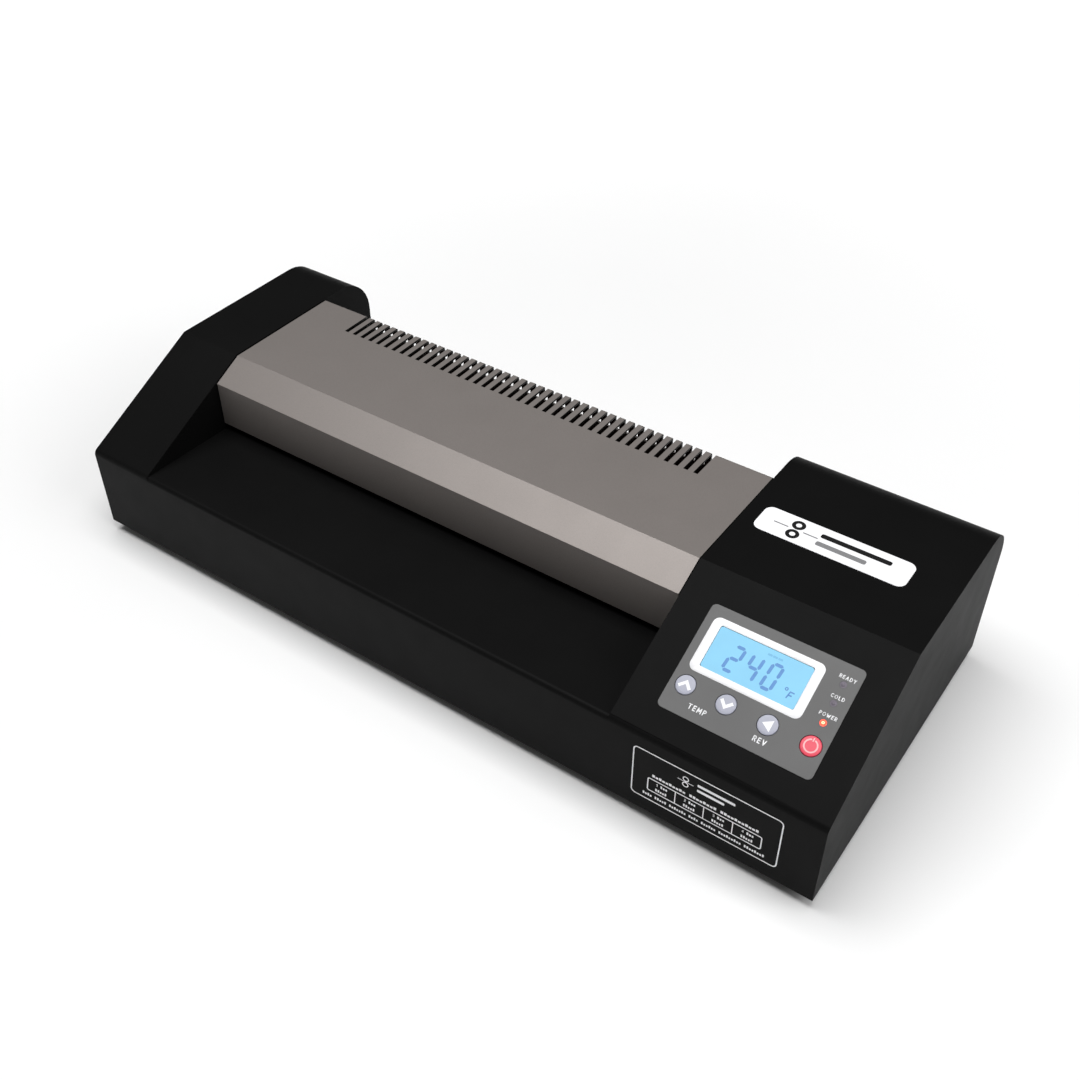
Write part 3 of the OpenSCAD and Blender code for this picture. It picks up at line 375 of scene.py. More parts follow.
def new_piece(name, mesh, material, body="root", slot=None, smooth_angle=None):
    """A named object from a mesh, with its material, riding on a CAD body."""
    piece = bpy.data.objects.new(name, mesh)
    bpy.context.scene.collection.objects.link(piece)
    mesh.materials.clear()
    mesh.materials.append(material)
    if smooth_angle is not None:
        for face in mesh.polygons:
            face.use_smooth = True
        mesh.set_sharp_from_angle(angle=math.radians(smooth_angle))
    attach(piece, body)
    return piece


def softened(name, node, material, slot, width, chosen, segments=3):
    """A CAD solid as one welded mesh, with the chosen sharp edges rounded.

    chosen takes an edge's two end points and its two face normals.
    """
    flat, sharp_from = math.radians(0.4), math.radians(22)
    shell = bmesh.new()
    shell.from_mesh(frame["nodes"][node].data)
    bmesh.ops.remove_doubles(shell, verts=shell.verts, dist=0.001 * MM)
    bmesh.ops.dissolve_limit(shell, angle_limit=flat, verts=shell.verts, edges=shell.edges)
    sharp = [
        e for e in shell.edges
        if len(e.link_faces) == 2 and e.is_convex and e.calc_face_angle() > sharp_from
        and chosen(e.verts[0].co, e.verts[1].co, [f.normal for f in e.link_faces])
    ]
    bmesh.ops.bevel(
        shell, geom=sharp, offset=width, segments=segments, profile=0.5,
        affect="EDGES", clamp_overlap=True)
    mesh = bpy.data.meshes.new(name)
    shell.to_mesh(mesh)
    shell.free()
    piece = new_piece(name, mesh, material, slot=slot, smooth_angle=35)
    piece.modifiers.new("weighted_normals", "WEIGHTED_NORMAL").keep_sharp = True
    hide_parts(node)


def rows_of(solid, levels):
    """A row of vertices for each (outline, height) pair."""
    return [[solid.verts.new((x, y, z)) for x, y in line] for line, z in levels]


def join_rows(solid, rows):
    """Faces between each row of vertices and the next, where every row is a closed loop."""
    for a, b in zip(rows, rows[1:]):
        for i in range(len(a)):
            k = (i + 1) % len(a)
            solid.faces.new((a[i], a[k], b[k], b[i]))


def placed(solid, place):
    """The solid moved by a matrix, with its faces turned outwards."""
    solid.transform(place)
    bmesh.ops.recalc_face_normals(solid, faces=solid.faces)
    return solid


def stacked(levels, place):
    """A closed bmesh solid through (outline, height) pairs, from the bottom up."""
    solid = bmesh.new()
    rows = rows_of(solid, levels)
    join_rows(solid, rows)
    solid.faces.new(rows[-1])
    solid.faces.new(list(reversed(rows[0])))
    return placed(solid, place)


def hollow(levels, place):
    """A closed band through (outline, height) pairs that ends where it starts."""
    solid = bmesh.new()
    rows = rows_of(solid, levels)
    join_rows(solid, rows + rows[:1])
    return placed(solid, place)


def flat_solid(outline, low, high, place=PANEL):
    """A prism over a closed outline of (x, y), from low to high."""
    return stacked([(outline, low), (outline, high)], place)


def drawn(name, solids, material, **options):
    """One new piece from several bmesh solids; the options are those of new_piece."""
    return new_piece(name, merged(solids, name), material, **options)


def merged(solids, name):
    """One mesh from several bmesh solids."""
    whole = bmesh.new()
    scratch = bpy.data.meshes.new(name + "_scratch")
    for solid in solids:
        solid.to_mesh(scratch)
        whole.from_mesh(scratch)
        solid.free()
    bpy.data.meshes.remove(scratch)
    mesh = bpy.data.meshes.new(name)
    whole.to_mesh(mesh)
    whole.free()
    return mesh


def rounded_rect(cx, cy, w, h, r, steps=8):
    """Outline points of a rectangle with round corners."""
    points = []
    for quarter, (sx, sy) in enumerate([(1, 1), (-1, 1), (-1, -1), (1, -1)]):
        x = cx + sx * (w / 2 - r)
        y = cy + sy * (h / 2 - r)
        for k in range(steps + 1):
            a = math.radians(90 * quarter + 90 * k / steps)
            points.append((x + r * math.cos(a), y + r * math.sin(a)))
    return points


def circle(cx, cy, r, steps=32):
    """Outline points of a circle."""
    return [(cx + r * math.cos(2 * math.pi * k / steps),
             cy + r * math.sin(2 * math.pi * k / steps)) for k in range(steps)]


def ring(outer, inner, low, high, place=PANEL):
    """A flat frame between two outlines with the same number of points."""
    return hollow([(outer, low), (outer, high), (inner, high), (inner, low)], place)


def lathe(profile, cx, cy, place=PANEL, steps=48):
    """A solid of revolution about the outward axis through (cx, cy).

    profile runs from the axis at the top to the axis at the bottom as (radius, height).
    """
    solid = bmesh.new()
    rows = []
    for r, z in profile:
        if r == 0:
            rows.append([solid.verts.new((cx, cy, z))])
        else:
            rows += rows_of(solid, [(circle(cx, cy, r, steps), z)])
    for a, b in zip(rows, rows[1:]):
        for i in range(steps):
            k = (i + 1) % steps
            if len(a) == 1:
                solid.faces.new((a[0], b[i], b[k]))
            elif len(b) == 1:
                solid.faces.new((a[i], b[0], a[k]))
            else:
                solid.faces.new((a[i], b[i], b[k], a[k]))
    return placed(solid, place)


# Keeps a stroke's corner from reaching far out where the line turns sharply.
SHARPEST_MITRE = 0.3


def stroke(points, width, low, high, place=PANEL):
    """A line of even width along a few points, as a solid."""
    half = width / 2
    left, right = [], []
    for i, p in enumerate(points):
        before = Vector(points[max(i - 1, 0)])
        after = Vector(points[min(i + 1, len(points) - 1)])
        here = Vector(p)
        into = (here - before).normalized() if i else (after - here).normalized()
        out = (after - here).normalized() if i < len(points) - 1 else into
        bisector = (into + out).normalized()
        side = Vector((-bisector.y, bisector.x))
        reach = half / max(SHARPEST_MITRE, side.dot(Vector((-into.y, into.x))))
        left.append(tuple(here + side * reach))
        right.append(tuple(here - side * reach))
    return flat_solid(right + left[::-1], low, high, place)


# Plain capitals and numerals, one unit high: the width, then the strokes.
STROKES = {
    "1": (0.25, [[(0, 0.78), (0.22, 1), (0.22, 0)]]),
    "2": (0.5, [[(0, 0.8), (0.1, 0.96), (0.27, 1), (0.45, 0.92), (0.48, 0.7), (0, 0), (0.5, 0)]]),
    "3": (0.5, [[(0, 0.92), (0.22, 1), (0.45, 0.88), (0.45, 0.66), (0.2, 0.54), (0.48, 0.4),
                 (0.5, 0.14), (0.25, 0), (0, 0.1)]]),
    "4": (0.55, [[(0.4, 0), (0.4, 1), (0, 0.3), (0.55, 0.3)]]),
    "A": (0.68, [[(0, 0), (0.34, 1), (0.68, 0)], [(0.13, 0.34), (0.55, 0.34)]]),
    "C": (0.62, [[(0.62, 0.88), (0.4, 1), (0.2, 0.93), (0.03, 0.7), (0, 0.5), (0.03, 0.3),
                  (0.2, 0.07), (0.4, 0), (0.62, 0.12)]]),
    "D": (0.66, [[(0, 0), (0, 1), (0.3, 1), (0.55, 0.86), (0.66, 0.5), (0.55, 0.14), (0.3, 0),
                  (0, 0)]]),
    "E": (0.46, [[(0.46, 1), (0, 1), (0, 0), (0.46, 0)], [(0, 0.52), (0.42, 0.52)]]),
    "L": (0.44, [[(0, 1), (0, 0), (0.44, 0)]]),
    "M": (0.76, [[(0, 0), (0.05, 1), (0.38, 0.3), (0.71, 1), (0.76, 0)]]),
    "O": (0.76, [[(0.38, 1), (0.17, 0.93), (0.03, 0.72), (0, 0.5), (0.03, 0.28), (0.17, 0.07),
                  (0.38, 0), (0.59, 0.07), (0.73, 0.28), (0.76, 0.5), (0.73, 0.72), (0.59, 0.93),
                  (0.38, 1)]]),
    "P": (0.5, [[(0, 0), (0, 1), (0.3, 1), (0.5, 0.87), (0.5, 0.62), (0.3, 0.48), (0, 0.48)]]),
    "R": (0.54, [[(0, 0), (0, 1), (0.3, 1), (0.5, 0.87), (0.5, 0.64), (0.3, 0.5), (0, 0.5)],
                 [(0.28, 0.5), (0.54, 0)]]),
    "T": (0.6, [[(0, 1), (0.6, 1)], [(0.3, 1), (0.3, 0)]]),
    "V": (0.64, [[(0, 1), (0.32, 0), (0.64, 1)]]),
    "W": (0.96, [[(0, 1), (0.25, 0), (0.48, 0.8), (0.71, 0), (0.96, 1)]]),
    "Y": (0.6, [[(0, 1), (0.3, 0.48), (0.6, 1)], [(0.3, 0.48), (0.3, 0)]]),
}


# Clear gap between two letters, as a share of their height.
LETTER_GAP = 0.22


def lettering(text, x, y, height, weight, low, high, place=PANEL):
    """Plain letters drawn with round-ended strokes, centred on (x, y)."""
    tall = height - weight
    spread = weight + LETTER_GAP * height
    start = x - (sum(STROKES[c][0] * tall for c in text) + (len(text) - 1) * spread) / 2
    solids, ends = [], set()
    for letter in text:
        width, lines = STROKES[letter]
        for line in lines:
            points = [(start + px * tall, y + (py - 0.5) * tall) for px, py in line]
            solids += [stroke([a, b], weight, low, high, place)
                       for a, b in zip(points, points[1:])]
            ends.update(points)
        start += width * tall + spread
    # A dot rounds each end and corner, turned so that it shares no point with a stroke.
    sides, turn = 12, 9.6
    turns = [math.radians(360 / sides * k + turn) for k in range(sides)]
    for px, py in sorted(ends):
        dot = [(px + weight / 2 * math.cos(a), py + weight / 2 * math.sin(a)) for a in turns]
        solids.append(flat_solid(dot, low, high, place))
    return solids


# ---------------------------------------------------------------- casing and cover

side_x = cad_box[1][0]
cover_low, cover_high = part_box("top_cover")
NEAR = 0.01 * MM
SHORTEST_FOLD = 30 * MM
SHORTEST_WALL_EDGE = 0.8 * MM
WALL_EDGE_Z = 55 * MM


def along_x(a, b):
    """Whether an edge is a long one that runs across the machine."""
    length = (a - b).length
    return abs(a.x - b.x) > 0.9 * length and length > SHORTEST_FOLD


def outer_fold(a, b, normals):
    """The long folds of the casing: along its side faces, its slopes and its walls."""
    on_side = all(abs(abs(p.x) - side_x) < NEAR for p in (a, b))
    up_wall = max(abs(n.x) for n in normals) > 0.99 and (a - b).length > SHORTEST_WALL_EDGE
    return on_side or along_x(a, b) or (up_wall and min(a.z, b.z) > WALL_EDGE_Z)


def cover_fold(a, b, normals):
    """The folds along the cover and its two side edges, but not the small edges of its slots."""
    at_end = all(min(abs(p.x - cover_low.x), abs(p.x - cover_high.x)) < NEAR for p in (a, b))
    return at_end or along_x(a, b)


softened("casing_shell", "outer_casing", CASING, "casing_paint", 0.9 * MM, outer_fold)
softened("cover_shell", "top_cover", COVER, "cover_paint", 0.8 * MM, cover_fold)


# ---------------------------------------------------------------- panel

# The overlay's face, the thickness of print, and how far print sinks into what it is on.
FACE = panel_box("panel_overlay")[1].z
INK = 0.04 * MM
SUNK = 0.01 * MM

softened(
    "overlay_plate", "panel_overlay", OVERLAY, "overlay_grey", 0.12 * MM,
    lambda a, b, normals: True, 2)

bezel_low, bezel_high = panel_box("lcd_bezel")
display_low, display_high = panel_box("lcd_module")
display_x, display_y, _ = middle((display_low, display_high))
GLASS = display_high.z
GLASS_SIZE = (54.6 * MM, 25.1 * MM)


def display_frame():
    """White frame: flat, with a small step down to the glass."""
    cx, cy, _ = middle((bezel_low, bezel_high))
    w, h = bezel_high.x - bezel_low.x, bezel_high.y - bezel_low.y
    top = bezel_high.z
    inner_w, inner_h = GLASS_SIZE
    edge, step, corner = 0.3 * MM, 0.12 * MM, 4 * MM
    outer = rounded_rect(cx, cy, w, h, corner)
    rim = rounded_rect(cx, cy, w - edge, h - edge, corner - edge / 2)
    lip = rounded_rect(cx, cy, inner_w + edge, inner_h + edge, 1.2 * MM)
    hole = rounded_rect(cx, cy, inner_w, inner_h, 1.0 * MM)
    levels = [(outer, bezel_low.z), (outer, top - step), (rim, top), (lip, top),
              (hole, top - step), (hole, bezel_low.z - 0.45 * MM)]
    piece = drawn("display_frame", [hollow(levels, PANEL)], WHITE, slot="bezel_white",
                  smooth_angle=40)
    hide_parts("lcd_bezel")


display_frame()


def display_glass():
    """Back-lit display: a glass slab over the module's body."""
    slack = 0.4 * MM
    slab = flat_solid(
        rounded_rect(display_x, display_y, GLASS_SIZE[0] - slack, GLASS_SIZE[1] - slack, 1.3 * MM),
        GLASS - 2.6 * MM, GLASS)
    size = display_high - display_low
    case = flat_solid(rounded_rect(display_x, display_y, size.x, size.y, 0.8 * MM),
                      display_low.z, GLASS - 2.5 * MM)
    glass = drawn("display_glass", [slab], LCD_GLOW, slot="lcd_blue")
    drawn("display_body", [case], WHITE, slot="lcd_blue")
    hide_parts("lcd_module")


display_glass()

# Which of the seven bars each digit lights: top, upper right, lower right, bottom,
# lower left, upper left, middle.
SEGMENTS = {"2": "1101101", "4": "0110011", "0": "1111110"}


def seven_segment(digit, x, y, w, h, bar, lean):
    """Outlines of the lit bars of one digit, whose lower left corner is (x, y).

    Each bar stops short of the digit's corners and ends in a point.
    """
    inset, point = bar * 0.18, bar * 0.45
    half = h / 2
    corners = {
        0: ((0, h), (w, h)), 1: ((w, h), (w, half)), 2: ((w, half), (w, 0)),
        3: ((0, 0), (w, 0)), 4: ((0, half), (0, 0)), 5: ((0, h), (0, half)),
        6: ((0, half), (w, half)),
    }
    outlines = []
    for k, lit in enumerate(SEGMENTS[digit]):
        if lit == "0":
            continue
        a, b = (Vector(p) for p in corners[k])
        along = (b - a).normalized()
        side = Vector((-along.y, along.x)) * bar / 2
        a += along * inset
        b -= along * inset
        tip = along * point
        shape = [a, a + tip + side, b - tip + side, b, b - tip - side, a + tip - side]
        outlines.append([(x + p.x + lean * p.y, y + p.y) for p in shape])
    return outlines


def display_digits():
    """Three leaning digits, a small degree sign with its letter, and three faint markers."""
    low, top = GLASS - 0.02 * MM, GLASS + 0.06 * MM
    cx, cy = display_x, display_y
    digit_w, digit_h, digit_pitch = 5.7 * MM, 14.3 * MM, 11.0 * MM
    bar, lean = 1.85 * MM, 0.085
    solids = []
    for k, digit in enumerate("240"):
        left = cx - 16.0 * MM + k * digit_pitch
        bars = seven_segment(digit, left, cy - 8.6 * MM, digit_w, digit_h, bar, lean)
        solids += [flat_solid(outline, low, top) for outline in bars]
    sign_x, sign_y = cx + 19.2 * MM, cy - 3.7 * MM
    solids.append(ring(circle(sign_x, sign_y, 1.0 * MM, 24), circle(sign_x, sign_y, 0.4 * MM, 24),
                       low, top))
    unit_x, unit_y = cx + 20.9 * MM, cy - 8.3 * MM
    for points in ([(0, 0), (0.75, 3.9), (3.1, 3.9)], [(0.4, 2.0), (2.4, 2.0)]):
        line = [(unit_x + px * MM, unit_y + py * MM) for px, py in points]
        solids.append(stroke(line, 0.75 * MM, low, top))
    drawn("display_digits", solids, LCD_INK, slot="lcd_blue")
    markers = [
        flat_solid(rounded_rect(cx + (3.2 + 3.0 * k) * MM, cy + 9.0 * MM, 2.6 * MM, 1.1 * MM,
                                0.2 * MM), low, top)
        for k in range(3)]
    drawn("display_marker", markers, LCD_FAINT, slot="lcd_blue")


display_digits()


def key_cap(name, material, slot, icon, icon_material):
    """A flat round key with a soft edge, its shoulder behind the panel, and a raised icon."""
    box = panel_box(name)
    cx, cy, _ = middle(box)
    top = box[1].z
    shoulder = (box[1].x - box[0].x) / 2
    r = shoulder - 1.2 * MM
    stem = 1.6 * MM
    under, back = top - 2.8 * MM, top - 3.8 * MM
    profile = [
        (0, top - 0.02 * MM), (r * 0.6, top - 0.03 * MM), (r - 0.55 * MM, top - 0.06 * MM),
        (r - 0.28 * MM, top - 0.12 * MM), (r - 0.08 * MM, top - 0.28 * MM), (r, top - 0.5 * MM),
        (r, under), (shoulder, under), (shoulder, back), (stem, back), (stem, box[0].z),
        (0, box[0].z)]
    cap = drawn(name + "_cap", [lathe(profile, cx, cy)], material, body=name, slot=slot,
                smooth_angle=40)
    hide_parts(name)
    drawn(name + "_icon", icon(cx, cy, top - 0.12 * MM, top), icon_material, body=name, slot=slot)


def chevron(direction):
    """Icon function for a chevron that points up (1) or down (-1)."""
    def draw(cx, cy, low, high):
        points = [(-3.3, -1.8), (0, 1.6), (3.3, -1.8)]
        line = [(cx + x * MM, cy + direction * y * MM) for x, y in points]
        return [stroke(line, 1.75 * MM, low, high)]
    return draw


def left_triangle(cx, cy, low, high):
    """A solid triangle that points left."""
    points = [(-3.1, 0), (2.2, 3.3), (2.2, -3.3)]
    return [flat_solid([(cx + x * MM, cy + y * MM) for x, y in points], low, high)]


def power_ring(cx, cy, low, high):
    """An open ring with a short bar in its gap."""
    gap, steps, r = 30, 40, 3.4 * MM
    turns = [math.radians(gap / 2 + (360 - gap) * k / steps) for k in range(steps + 1)]
    arc = [(cx + r * math.sin(a), cy + r * math.cos(a)) for a in turns]
    bar = [(cx, cy + 2.4 * MM), (cx, cy + 4.4 * MM)]
    return [stroke(arc, 0.8 * MM, low, high), stroke(bar, 0.7 * MM, low, high)]


key_cap("up_key", KEY, "key_plastic", chevron(1), INK_WHITE)
key_cap("down_key", KEY, "key_plastic", chevron(-1), INK_WHITE)
key_cap("reverse_key", KEY, "key_plastic", left_triangle, INK_WHITE)
key_cap("power_key", POWER_KEY, "power_key_plastic", power_ring, INK_PINK)


def lamps():
    """Three domed lamps; the one nearest the power key is lit."""
    low, high = panel_box("status_leds")
    cx = (low.x + high.x) / 2
    r = 1.5 * MM
    flange = 1.9 * MM
    collar = FACE - 0.05 * MM
    first, last = low.y + flange, high.y - flange
    # The second lamp sits just above halfway.
    second_share = 11.45 / 22.5
    places = [first, first + (last - first) * second_share, last]
    arc = [math.radians(a) for a in range(0, 91, 10)]
    dome = [(r * math.sin(a), high.z - r + r * math.cos(a)) for a in arc
            if high.z - r + r * math.cos(a) > collar]
    foot = (math.sqrt(r * r - (collar - high.z + r) ** 2), collar)
    profile = dome + [
        foot, (flange - 0.1 * MM, collar), (flange - 0.03 * MM, collar - 0.1 * MM),
        (flange - 0.03 * MM, low.z), (0, low.z)]
    tip = [(0, high.z), (0.4 * MM, high.z - 0.05 * MM), (0.8 * MM, high.z - 0.21 * MM),
           (0.85 * MM, high.z - 0.6 * MM), (0, high.z - 0.6 * MM)]
    names = ["power_lamp", "cold_lamp", "ready_lamp"]
    for name, y, material in zip(names, places, (LED_ON, LED_OFF, LED_OFF)):
        lamp = drawn(name, [lathe(profile, cx, y)], material, slot="led_lens", smooth_angle=50)
        if name == "power_lamp":
            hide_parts("status_leds")
            drawn("power_lamp_core", [lathe(tip, cx, y)], LED_CORE, slot="led_lens",
                  smooth_angle=50)
    return cx, places


lamp_x, lamp_places = lamps()


def panel_print():
    """White words beside the keys and the lamps."""
    low = FACE - SUNK
    up = middle(panel_box("up_key"))
    down = middle(panel_box("down_key"))
    reverse = middle(panel_box("reverse_key"))
    below, key_size, lamp_size = 9.2 * MM, (3.2 * MM, 0.6 * MM), (2.2 * MM, 0.42 * MM)
    words = [
        ("TEMP", (up.x + down.x) / 2, up.y - below, *key_size),
        ("REV", reverse.x + 0.1 * MM, reverse.y - below, *key_size),
    ]
    for text, y, rise in zip(("POWER", "COLD", "READY"), lamp_places, (4.4, 3.7, 3.9)):
        words.append((text, lamp_x + 0.6 * MM, y + rise * MM, *lamp_size))
    solids = []
    for text, x, y, height, weight in words:
        solids += lettering(text, x, y, height, weight, low, low + INK)
    drawn("panel_print", solids, INK_WHITE, slot="overlay_grey")


panel_print()


# ---------------------------------------------------------------- badge and front label

def badge():
    """Plain white plate with a soft edge and a neutral sheet-and-rollers mark."""
    low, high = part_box("badge_plate")
    cx, cy, _ = middle((low, high))
    w, h = high.x - low.x, high.y - low.y
    top = high.z - INK
    edge, corner = 0.3 * MM, 5 * MM
    place = Matrix.Identity(4)
    outer = rounded_rect(cx, cy, w, h, corner)
    rim = rounded_rect(cx, cy, w - edge, h - edge, corner - edge / 2)
    plate = drawn("badge", [stacked([(outer, low.z), (outer, top - edge / 2), (rim, top)], place)],
                  WHITE, slot="badge_white", smooth_angle=40)
    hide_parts("badge_plate")

    def bar(x, y, width, height, r):
        """A printed bar, centred on (x, y) from the middle of the plate, in millimetres."""
        return flat_solid(
            rounded_rect(cx + x * MM, cy + y * MM, width * MM, height * MM, r * MM),
            top - SUNK, high.z, place)

    mark_x = -23
    rollers = [
        ring(circle(cx + mark_x * MM, cy + side * 4.3 * MM, 4.0 * MM),
             circle(cx + mark_x * MM, cy + side * 4.3 * MM, 1.7 * MM), top - SUNK, high.z, place)
        for side in (-1, 1)]
    drawn("badge_print", rollers + [bar(12, 3.6, 42, 3.6, 1.2)], INK_DARK, slot="badge_white")
    grey = [bar(6, -3.6, 30, 3.6, 1.2)]
    grey += [bar(mark_x + side * 9, 0, 9, 0.9, 0.3) for side in (-1, 1)]
    drawn("badge_print_grey", grey, INK_GREY, slot="badge_white")


badge()


def front_label():
    """Thin printed border, a small table of plain numbers, and bars in place of sentences."""
    low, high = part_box("front_label")
    cx, _, cz = middle((low, high))
    w, h = high.x - low.x, high.z - low.z
    border, corner = 0.75 * MM, 3 * MM
    place = Matrix.Translation((0, low.y, 0)) @ Matrix.Rotation(math.radians(90), 4, "X")
    film = flat_solid(rounded_rect(cx, cz, w, h, corner), -(high.y - low.y), -INK, place)
    plate = drawn("front_label_film", [film], CASING, slot="label_print")
    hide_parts("front_label")
    ink = (-INK - SUNK, 0.0, place)

    def filler(x, y, words, pitch):
        """A row of small blocks, centred on x, that stands for a line of small print."""
        height, gap, small = 2.0 * MM, 0.45 * MM, 0.72
        start = x - (sum(words) + len(words) - 1) * pitch / 2
        marks = []
        for count in words:
            for k in range(count):
                tall = height if (k == 0 or (k * 7 + count) % 3 == 0) else height * small
                drop = (height - tall) / 2
                marks.append(flat_solid(
                    rounded_rect(start + pitch / 2, y - drop, pitch - gap, tall, 0.15 * MM, 2),
                    *ink))
                start += pitch
            start += pitch
        return marks

    table_w, table_h, line = 68.5 * MM, 10.4 * MM, 0.7 * MM
    table_z = cz - 5.9 * MM
    solids = [
        ring(rounded_rect(cx, cz, w, h, corner),
             rounded_rect(cx, cz, w - 2 * border, h - 2 * border, 2.3 * MM), *ink),
        ring(rounded_rect(cx, table_z, table_w, table_h, 1.4 * MM),
             rounded_rect(cx, table_z, table_w - 2 * line, table_h - 2 * line, 0.8 * MM), *ink)]
    column, row = table_w / 4, 2.1 * MM
    for k in range(4):
        x = cx - table_w / 2 + (k + 0.5) * column
        if k:
            solids.append(flat_solid(
                rounded_rect(x - column / 2, table_z, 0.6 * MM, table_h - line, 0.2 * MM), *ink))
        solids += lettering(str(k + 1), x - 2.6 * MM, table_z + row, 2.1 * MM, 0.36 * MM, *ink)
        solids += filler(x + 1.6 * MM, table_z + row, [3], 1.5 * MM)
        solids += filler(x, table_z - row, [5], 1.45 * MM)
    solids += filler(cx, cz + 2.1 * MM, [10, 8, 11], 2.05 * MM)
    solids += filler(cx, cz - 14.7 * MM, [4, 5, 7, 4, 6, 9, 8], 1.5 * MM)

    mark_x, mark_z = cx - 12 * MM, cz + 10.9 * MM
    for side in (-1, 1):
        roller_z = mark_z + side * 2.2 * MM
        solids.append(ring(circle(mark_x, roller_z, 1.9 * MM), circle(mark_x, roller_z, 1.3 * MM),
                           *ink))
    solids.append(flat_solid(rounded_rect(mark_x, mark_z, 9.5 * MM, 0.4 * MM, 0.15 * MM), *ink))
    for rise, width in ((2.0 * MM, 22 * MM), (-2.0 * MM, 16 * MM)):
        solids.append(flat_solid(
            rounded_rect(cx - 5 * MM + width / 2, mark_z + rise, width, 1.9 * MM, 0.6 * MM), *ink))
    drawn("front_label_print", solids, INK_WHITE, slot="label_print")


front_label()


# ---------------------------------------------------------------- pressure springs

def pressure_springs(node):
    """Two coil springs under caps, in the space of the CAD springs."""
    low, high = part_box(node)
    wire = 0.6 * MM
    coil = (high.y - low.y) / 2 - wire
    turns, steps, sides = 5, 32, 12
    count = turns * steps
    middle_y = (low.y + high.y) / 2
    rise = high.z - low.z - 2 * wire
    solids = []
    for x in (low.x + coil + wire, high.x - coil - wire):
        solid = bmesh.new()
        rows = []
        for i in range(count + 1):
            a = math.radians(360 / steps) * i
            row = []
            for k in range(sides):
                b = math.radians(360 / sides) * k
                r = coil + wire * math.cos(b)
                row.append(solid.verts.new((
                    x + r * math.cos(a), middle_y + r * math.sin(a),
                    low.z + wire + rise * i / count + wire * math.sin(b))))
            rows.append(row)
        join_rows(solid, rows)
        solid.faces.new(rows[0])
        solid.faces.new(rows[-1])
        bmesh.ops.recalc_face_normals(solid, faces=solid.faces)
        solids.append(solid)
    piece = drawn(node + "_wire", solids, SPRING_STEEL, slot="spring_steel", smooth_angle=60)
    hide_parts(node)
    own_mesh(piece)


pressure_springs("hot_pressure_springs")
pressure_springs("pull_pressure_springs")


# ---------------------------------------------------------------- feet

def feet():
    """Four rubber feet with a soft lower edge and a recess for the screw."""
    low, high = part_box("rubber_feet")
    r, recess, screw = 11 * MM, 5 * MM, 2.2 * MM
    recess_top, rim = 4.5 * MM, 0.3 * MM
    profile = [
        (recess, 0.5 * MM), (5.5 * MM, 0), (8.4 * MM, 0), (9.4 * MM, 0.25 * MM),
        (10.3 * MM, 0.9 * MM), (10.85 * MM, 1.9 * MM), (r, 3.2 * MM), (r, high.z - rim),
        (r - rim, high.z), (screw, high.z), (screw, recess_top), (recess, recess_top)]
    solids = []
    for x in (low.x + r, high.x - r):
        for y in (low.y + r, high.y - r):
            solids.append(lathe(profile + profile[:1], x, y, Matrix.Identity(4)))
    mesh = merged(solids, "feet")
    weld = bmesh.new()
    weld.from_mesh(mesh)
    bmesh.ops.remove_doubles(weld, verts=weld.verts, dist=0.0001 * MM)
    weld.to_mesh(mesh)
    weld.free()
    piece = new_piece("feet", mesh, RUBBER, slot="rubber", smooth_angle=50)
    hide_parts("rubber_feet")


feet()


# ---------------------------------------------------------------- stage, light and camera

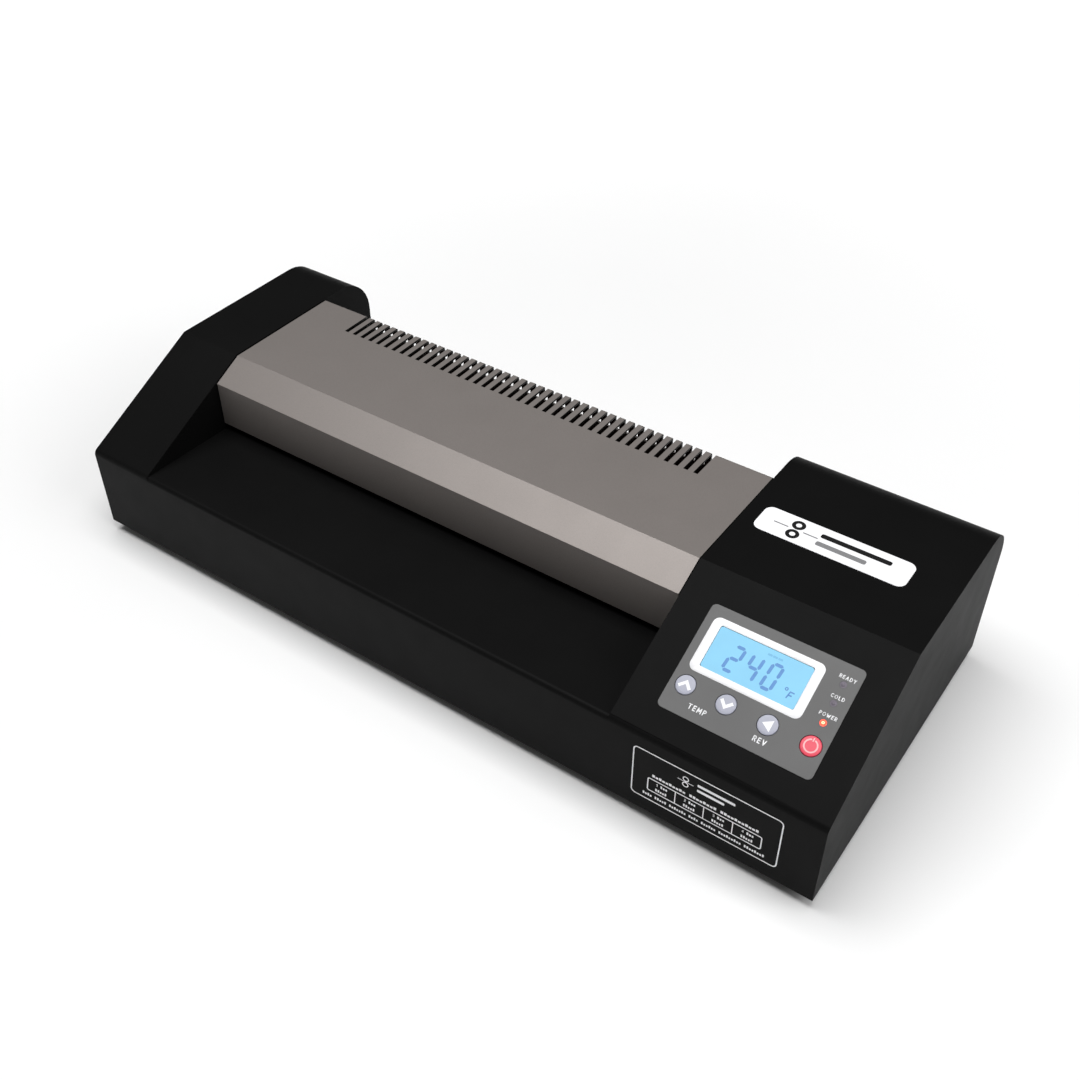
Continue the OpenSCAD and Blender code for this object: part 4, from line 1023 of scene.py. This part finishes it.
def stage():
    """A pale floor with a painted glow that grows with distance from the machine, and soft light,
    mostly from above and from the right.
    """
    floor_size = 14
    bpy.ops.mesh.primitive_plane_add(size=floor_size, location=(0, 0, 0))
    floor = bpy.context.object
    floor.name = "floor"
    nodes = Nodes("floor_paper").set(rough=0.9, specular=0.0)
    varied(nodes, (0.9, 0.9, 0.9, 1), 2, 0.01)
    # Painted glow: the floor's emission rises from none within 0.25 m to 0.6 beyond 1.4 m, so the
    # far floor shows white and the near floor keeps its shadows.
    away = nodes.add("ShaderNodeVectorMath", operation="LENGTH")
    nodes.join(nodes.coords(), "Vector", away, "Vector")
    painted_glow_limits = {"From Min": 0.25, "From Max": 1.4, "To Min": 0.0, "To Max": 0.6}
    rise = nodes.add("ShaderNodeMapRange", interpolation_type="SMOOTHSTEP", **painted_glow_limits)
    nodes.join(away, "Value", rise, "Value")
    nodes.join(rise, "Result", nodes.shader, "Emission Strength")
    nodes.shader.inputs["Emission Color"].default_value = (1, 1, 1, 1)
    floor.data.materials.append(nodes.material)

    world = bpy.data.worlds.new("studio")
    bpy.context.scene.world = world
    world.use_nodes = True
    tree = world.node_tree
    backdrop = tree.nodes["Background"]
    backdrop.inputs["Color"].default_value = (1, 1, 1, 1)
    # A faint fill on the object; only the empty backdrop itself shows as white.
    path = tree.nodes.new("ShaderNodeLightPath")
    fill_strength, backdrop_strength = 0.12, 0.97
    fill = tree.nodes.new("ShaderNodeMapRange")
    fill.inputs["To Min"].default_value = fill_strength
    fill.inputs["To Max"].default_value = backdrop_strength
    tree.links.new(path.outputs["Is Camera Ray"], fill.inputs["Value"])
    tree.links.new(fill.outputs["Result"], backdrop.inputs["Strength"])

    def softbox(name, place, target, size, power):
        """A rectangular light that faces a point."""
        light = bpy.data.lights.new(name, "AREA")
        light.shape = "RECTANGLE"
        light.size, light.size_y = size
        light.energy = power
        holder = bpy.data.objects.new(name, light)
        bpy.context.scene.collection.objects.link(holder)
        holder.location = place
        facing = Vector(target) - Vector(place)
        holder.rotation_euler = facing.to_track_quat("-Z", "Y").to_euler()

    softbox("overhead", (-0.2, -0.14, 1.9), (-0.2, -0.14, 0.0), (2.0, 1.2), 38)
    softbox("right_side", (1.6, 0.1, 1.3), (0.2, 0.0, 0.05), (1.3, 1.3), 14)


def camera():
    """The photograph's view: turned 35 degrees to the right of the front and 41 degrees up."""
    yaw, pitch, roll = math.radians(35.184), math.radians(41.042), math.radians(-0.163)
    forward = Vector((-math.sin(yaw) * math.cos(pitch), math.cos(yaw) * math.cos(pitch),
                      -math.sin(pitch)))
    right = Vector((math.cos(yaw), math.sin(yaw), 0))
    up = right.cross(forward)
    turned_right = right * math.cos(roll) + up * math.sin(roll)
    turned_up = turned_right.cross(forward)
    place = (0.3705, -0.5028, 0.5850)
    view = bpy.data.cameras.new("camera")
    view.sensor_width, view.lens = 36, 43.3
    view.clip_start, view.clip_end = 0.01, 50
    holder = bpy.data.objects.new("camera", view)
    bpy.context.scene.collection.objects.link(holder)
    axes = zip(turned_right, turned_up, -forward, place)
    holder.matrix_world = Matrix([*axes, (0, 0, 0, 1)])
    bpy.context.scene.camera = holder


stage()
camera()
bpy.context.scene.view_settings.view_transform = "Standard"
